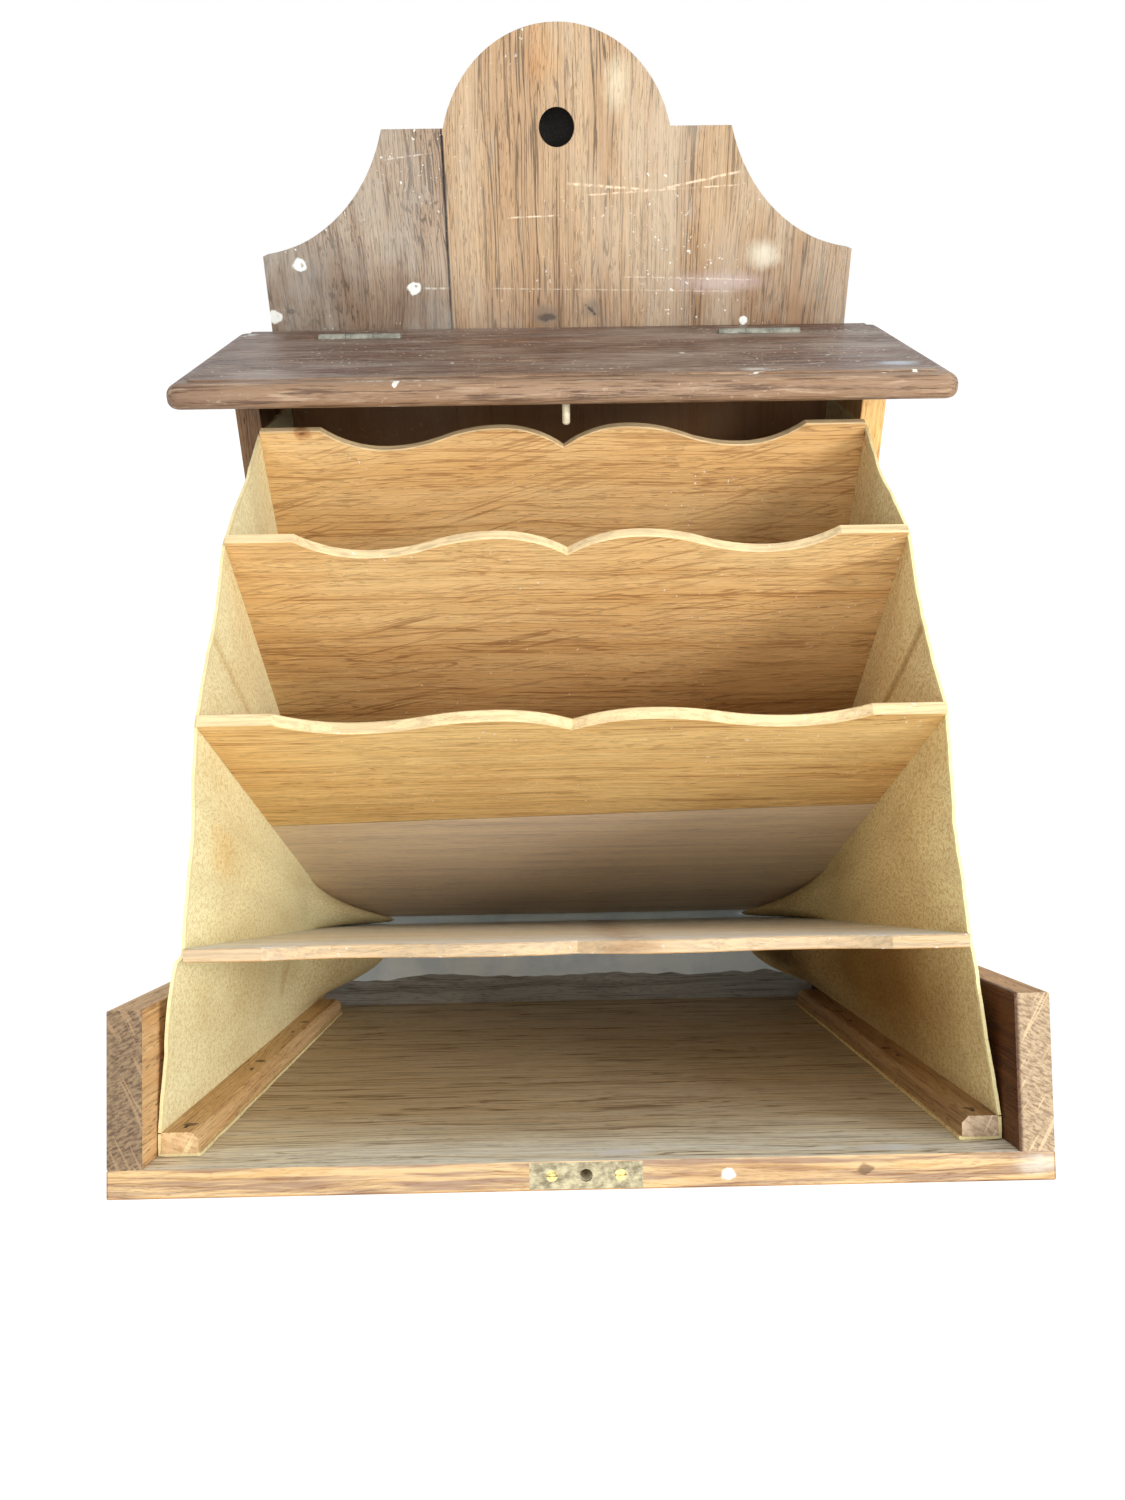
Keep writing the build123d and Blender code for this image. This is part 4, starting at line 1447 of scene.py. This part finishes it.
class Dividers:
    """The four thin oak dividers."""

    LOOKS = (
        DividerLook((238, 200, 140), (226, 182, 118), (166, 120, 70), 0.7, 17.0, 14.0,
                    (Spot(-148.2, 386.8, 4.5, (168, 110, 60), 0.75, 0.6, 1.3),
                     Spot(-148.2, 386.8, 1.6, (110, 66, 34), 0.8, 0.5, 1.5),
                     # Painted shadow: this grey multiply darkens the right of divider 1 where the right
                     # leather shades it.
                     Spot(110, 322, 60, (216, 214, 214), 0.5, 0.95, 1.3, "MULTIPLY"))),
        DividerLook((238, 202, 142), (224, 182, 120), (152, 108, 62), 0.75, 15.0, 14.0,
                    (Shade(2, 330, 220, (226, 224, 222), 16),)),
        DividerLook((244, 206, 138), (228, 184, 114), (156, 110, 62), 0.3, 4.0, 20.0,
                    (GlueLine(252.0, 0.06, (104, 76, 48), (240, 234, 226)),
                     Spot(-138.5, 208.7, 1.4, (240, 226, 196), 0.9))),
        # Painted light: divider 4's upper face is nearly white with a faint blue, standing in for the
        # skylight in its shade; the Shade brings its lower face back to oak.
        DividerLook((250, 252, 250), (240, 242, 238), (196, 190, 178), 0.2, 4.0, 14.0,
                    on_top(Spot(23, -10.5, 5, (150, 104, 62), 0.5, 0.7, 4.0))
                    + (Shade(1, -12.9, -13.4, (240, 206, 152), 0),), (204, 166, 112)))

    def dress(self) -> None:
        """Finishes the dividers, each with its own figure."""
        for number, look in enumerate(self.LOOKS):
            finish = Oak(f"oak_divider_{number + 1}", look.light, look.mid, look.dark, Grain.ACROSS,
                         lean=DIVIDER_LEANS[number], seed=11.0 + number, band=9.0, line=2.4, lines=0.7,
                         wave=look.wave, fleck=look.fleck, tilt=look.tilt, pores=0.3, end=look.edge,
                         end_dark=tuple(0.88 * channel for channel in look.edge),
                         marks=look.marks + (Specks(scale=420.0, rarity=0.735),))
            dress(finish, f"divider_{number + 1}")


class DropFront:
    """The front half, open: panel, cheeks, rail and battens."""

    # Where the battens' nails are, across and up the front, in millimetres.
    NAIL_REACH = 174.5
    NAIL_HEIGHTS = (373, 248, 136)

    def batten(self, side: Side) -> dict[str, Any]:
        """What the two battens' oak has in common, with the stains round the nails.

        Args:
            side: which batten.

        Returns:
            Fields for the oak.
        """
        stains = tuple(Spot(side.value * self.NAIL_REACH, height, 3.2, (84, 58, 38), 0.85, 0.4, 1.2)
                       for height in self.NAIL_HEIGHTS)
        return dict(grain=Grain.UP, lean=OPEN_LEAN, pores=0.4, line=2.2, lines=0.6, marks=stains)

    def panel(self) -> Oak:
        """The outer panel, in two boards with a dark glue line between them."""
        white = (236, 234, 230)
        # Painted shade: the face seen open is darker below about 400 mm up, towards the hinge where it lies
        # under divider 4.
        inside = (Shade(2, 400, 330, (222, 214, 204), 14), GlueLine(246.0, 0.087, (52, 44, 36)),
                  Spot(16.4, 390.8, 7, white, 0.8, 0.8, 2.6), Spot(132.9, 391.9, 6, white, 0.8, 0.8, 3.5),
                  Spot(110, 390, 4, white, 0.5, 0.8, 2.0))
        edge = on_top(Spot(74, -73, 7, (150, 104, 62), 0.35, 0.7, 7.0),
                      Spot(61.8, -74, 3.2, (250, 248, 244), 0.9, 0.5, 1.3),
                      Spot(194, -72, 6, (222, 212, 196), 0.6, 0.8, 2.4),
                      Spot(119, -72.5, 2.4, (92, 62, 40), 0.7, 0.5, 1.8))
        # Painted light: the face seen open is nearly white, standing in for the light on it; the outer face
        # and the two sawn ends are multiplied back to browner oak.
        outside = (Shade(1, -78.2, -78.9, (206, 176, 136), 0), Shade(0, -199.2, -199.9, (206, 168, 116), 0),
                   Shade(0, 199.2, 199.9, (206, 168, 116), 0))
        return Oak("oak_panel", (255, 251, 234), (250, 238, 208), (112, 84, 56), Grain.ACROSS,
                   lean=OPEN_LEAN, seed=21.0, band=9.0, line=3.4, lines=0.7, fine=0.05, wave=20.0,
                   pores=0.4, end=(206, 164, 104), end_dark=(136, 90, 48), marks=inside + edge + outside)

    def dress(self) -> None:
        """Finishes the front's nodes."""
        dress(self.panel(), "drop_panel")
        cheek = dict(grain=Grain.UP, lean=OPEN_LEAN, pores=0.6, lines=0.5)
        # Painted shade: the left cheek's sawn end is darker than the right's for the shade on it, and the
        # Shade on the right cheek's inner face is the painted shadow of the leather.
        left = Oak("oak_cheek_left", (232, 192, 138), (212, 166, 110), (140, 100, 64), seed=23.0,
                   end=(140, 114, 84), end_dark=(92, 70, 50), cut=-26.0, **cheek)
        right = Oak("oak_cheek_right", (206, 160, 104), (176, 128, 80), (96, 62, 36), seed=24.0,
                    end=(186, 160, 126), end_dark=(138, 112, 84), cut=30.0,
                    marks=(Shade(0, 187.5, 185.6, (126, 96, 66), 0),), **cheek)
        dress(left, "cheek_left")
        dress(right, "cheek_right")
        rail = Oak("oak_rail", (176, 172, 164), (150, 146, 138), (96, 90, 84), Grain.ACROSS,
                   lean=OPEN_LEAN, seed=25.0)
        dress(rail, "bottom_rail")
        left = Oak("oak_batten_left", (238, 206, 156), (220, 180, 126), (160, 118, 74), seed=26.0,
                   end=(224, 190, 142), end_dark=(196, 156, 110), **self.batten(Side.LEFT))
        right = Oak("oak_batten_right", (206, 170, 122), (176, 138, 94), (116, 84, 52), seed=27.0,
                    end=(214, 186, 154), end_dark=(180, 150, 120), **self.batten(Side.RIGHT))
        dress(left, "batten_left")
        dress(right, "batten_right")


class Fittings:
    """Hinges, catch plate, screws and nails."""

    def dress(self) -> None:
        """Finishes the metal."""
        steel = Metal("hinge_steel", (158, 158, 144), (120, 118, 106), 0.45, 0.6)
        parts = ("fixed_leaves", "moving_leaves", "pins", "fixed_screws", "moving_screws")
        dress(steel, *(f"{joint}_hinge_{part}" for joint in ("lid", "drop") for part in parts))
        plate = Metal("plate_brass", (172, 162, 130), (130, 120, 96), 0.6, 0.5, 260.0)
        dress(plate, "catch_plate")
        screws = Metal("screw_brass", (226, 206, 130), (152, 136, 92), 0.8, 0.4, 400.0)
        dress(screws, "catch_plate_screws")
        iron = Metal("nail_iron", (92, 74, 60), (52, 40, 32), 0.4, 0.6)
        dress(iron, "backboard_nails", "base_nails", "panel_nails", "rail_nails", "batten_nails")


class Leather:
    """Both leather sides: the left paler, the right browner, soiled and with painted shade."""

    def build(self) -> None:
        """Makes the two leathers and builds the sides."""
        pale = Suede("leather_pale", (253, 245, 200), (230, 212, 156), (206, 176, 124), (236, 216, 164),
                     0.3, (Blot(3, 88, 30, 22, 14, (140, 98, 58), 0.9),
                           Blot(3, 52, 322, 22, 34, (240, 206, 150), 0.4),
                           Blot(4, 30, 150, 30, 14, (226, 200, 156), 0.5)))
        brown = Suede("leather_brown", (255, 236, 180), (224, 190, 128), (176, 144, 98), (246, 230, 172),
                      0.45, (Blot(1, 3, 366, 7, 16, (140, 84, 50), 0.9),
                             # Painted shade: the right leather is browner than the left partly for its
                             # shade, and these last two blots darken its last web for shade as well as
                             # soiling.
                             Blot(4, 30, 200, 90, 230, (176, 146, 96), 0.9),
                             Blot(4, 20, 40, 60, 50, (104, 88, 58), 0.85)))
        LeatherSide(Side.LEFT, pale.material(), 0.4, 1.4 * MM).build()
        LeatherSide(Side.RIGHT, brown.material(), 0.8, 2.6 * MM).build()


@dataclass
class Studio:
    """Floor, light and camera.

    Attributes:
        floor_drop: how far below the origin the floor is, in metres.
        floor_reach: half its side.
        key_power: the main lamp's power, in watts.
        key_size: its side, in metres.
        key_place: where it stands.
        fill_power: the soft front lamp's power.
        fill_size: its side.
        fill_place: where it stands.
        target: what both lamps look at.
        sky: how strong the surround is as a light.
        sky_tint: its colour as a light.
        hole_place: the middle of the dark behind the hanging hole.
        hole_reach: its radius.
        camera_place: where the photograph was taken from.
        pitch: how far the camera looks down, in degrees.
        yaw: how far it looks to the right.
        roll: how far it leans.
        lens: its focal length, in millimetres.
        sensor: its sensor's width.
    """

    floor_drop: float = 1.5
    floor_reach: float = 9.0
    key_power: float = 33.0
    key_size: float = 0.7
    key_place: tuple[float, float, float] = (1.56, -1.56, 0.57)
    fill_power: float = 23.5
    fill_size: float = 1.6
    fill_place: tuple[float, float, float] = (-0.1, -2.3, 0.15)
    target: tuple[float, float, float] = (0.0, -0.25, -0.25)
    sky: float = 0.8
    sky_tint: tuple[float, float, float, float] = (0.9, 0.96, 1.0, 1.0)
    hole_place: tuple[float, float, float] = (0.0, 0.002, 0.0)
    hole_reach: float = 16.0 * MM
    camera_place: tuple[float, float, float] = (-0.0101, -0.8148, 0.0044)
    pitch: float = 28.94
    yaw: float = 0.64
    roll: float = -0.72
    lens: float = 27.388
    sensor: float = 36.0

    def seen_directly(self, tree: bpy.types.NodeTree) -> Socket:
        """1 for rays from the camera, a mirror or through glass, and 0 for others."""
        path = tree.nodes.new("ShaderNodeLightPath")
        found = path.outputs["Is Camera Ray"]
        for name in ("Is Glossy Ray", "Is Transmission Ray"):
            either = tree.nodes.new("ShaderNodeMath")
            either.operation = "MAXIMUM"
            tree.links.new(found, either.inputs[0])
            tree.links.new(path.outputs[name], either.inputs[1])
            found = either.outputs[0]
        return found

    def world(self) -> None:
        """A plain white surround: full white to the eye, softer as a light."""
        world = bpy.data.worlds.new("surround")
        bpy.context.scene.world = world
        world.use_nodes = True
        tree = world.node_tree
        strength = tree.nodes.new("ShaderNodeMapRange")
        seen = self.seen_directly(tree)
        tree.links.new(seen, strength.inputs["Value"])
        strength.inputs["To Min"].default_value = self.sky
        strength.inputs["To Max"].default_value = 1.0
        tint = tree.nodes.new("ShaderNodeMix")
        tint.data_type = "RGBA"
        tree.links.new(seen, tint.inputs[0])
        tint.inputs[6].default_value = self.sky_tint
        tint.inputs[7].default_value = (1.0, 1.0, 1.0, 1.0)
        background = tree.nodes["Background"]
        tree.links.new(tint.outputs[2], background.inputs["Color"])
        tree.links.new(strength.outputs["Result"], background.inputs["Strength"])

    def floor(self) -> None:
        """The pale floor, well below the hung rack."""
        bpy.ops.object.select_all(action="DESELECT")
        bpy.ops.mesh.primitive_plane_add(size=2 * self.floor_reach,
                                         location=(0.0, 0.0, -self.floor_drop))
        plane = bpy.context.object
        plane.name = "floor"
        graph = Graph("floor_paint")
        paint = graph.finish((0.9, 0.9, 0.9, 1.0), 0.9)
        glow = graph.node("ShaderNodeEmission", {"Color": (1.0, 1.0, 1.0, 1.0), "Strength": 1.15})
        share = graph.times(self.seen_directly(graph.tree), 0.85)
        graph.show(graph.node("ShaderNodeMixShader", {0: share, 1: graph.shader.outputs[0],
                                                      2: glow.outputs[0]}).outputs[0])
        plane.data.materials.append(paint)

    def wall_patch(self) -> None:
        """The dark that shows through the hanging hole: a disc for the wall behind, its darkness painted
        shade, seen from the front only.
        """
        bpy.ops.object.select_all(action="DESELECT")
        bpy.ops.mesh.primitive_circle_add(vertices=48, radius=self.hole_reach, fill_type="NGON",
                                          location=self.hole_place, rotation=(math.pi / 2, 0.0, 0.0))
        patch = bpy.context.object
        patch.name = "wall_patch"
        graph = Graph("wall_in_painted_shade")
        place = graph.node("ShaderNodeTexCoord", {}).outputs["Object"]
        dots = graph.node("ShaderNodeTexVoronoi", {"Vector": place, "Scale": 900.0}).outputs["Distance"]
        dark = graph.finish(graph.ramp(dots, ((0.1, (44, 42, 40)), (0.4, (16, 15, 15)))), 0.95)
        clear = graph.node("ShaderNodeBsdfTransparent", {})
        back = graph.node("ShaderNodeNewGeometry", {}).outputs["Backfacing"]
        graph.show(graph.node("ShaderNodeMixShader", {0: back, 1: graph.shader.outputs[0],
                                                      2: clear.outputs[0]}).outputs[0])
        patch.data.materials.append(dark)

    def lamp(self, name: str, power: float, size: float, place: Sequence[float]) -> None:
        """One soft square lamp that looks at the rack."""
        data = bpy.data.lights.new(name, "AREA")
        data.energy = power
        data.size = size
        lamp = bpy.data.objects.new(name, data)
        lamp.location = place
        away = Vector(place) - Vector(self.target)
        lamp.rotation_euler = away.to_track_quat("Z", "Y").to_euler()
        bpy.context.scene.collection.objects.link(lamp)

    def camera(self) -> None:
        """The camera where the photograph was taken."""
        pitch, yaw, roll = (math.radians(angle) for angle in (self.pitch, self.yaw, self.roll))
        ahead = Vector((math.sin(yaw) * math.cos(pitch), math.cos(yaw) * math.cos(pitch),
                        -math.sin(pitch)))
        level = Vector((math.cos(yaw), -math.sin(yaw), 0.0))
        up = level.cross(ahead)
        right = level * math.cos(roll) + up * math.sin(roll)
        top = up * math.cos(roll) - level * math.sin(roll)
        data = bpy.data.cameras.new("camera")
        data.lens = self.lens
        data.sensor_width = self.sensor
        data.clip_start = 0.01
        camera = bpy.data.objects.new("camera", data)
        turned = Matrix((right, top, -ahead)).transposed()
        camera.matrix_world = Matrix.Translation(self.camera_place) @ turned.to_4x4()
        bpy.context.scene.collection.objects.link(camera)
        bpy.context.scene.camera = camera

    def build(self) -> None:
        """Sets up the whole stage."""
        self.world()
        self.floor()
        self.wall_patch()
        self.lamp("key", self.key_power, self.key_size, self.key_place)
        self.lamp("fill", self.fill_power, self.fill_size, self.fill_place)
        self.camera()
        bpy.context.scene.view_settings.view_transform = "Standard"


def main() -> None:
    """Builds and dresses the rack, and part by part."""
    logging.basicConfig(level=logging.INFO, format="%(message)s")
    Case().dress()
    Lid().dress()
    Dividers().dress()
    DropFront().dress()
    Fittings().dress()
    Leather().build()
    Lining(LiningCloth().material()).build()
    Studio().build()


if __name__ == "__main__":
    main()
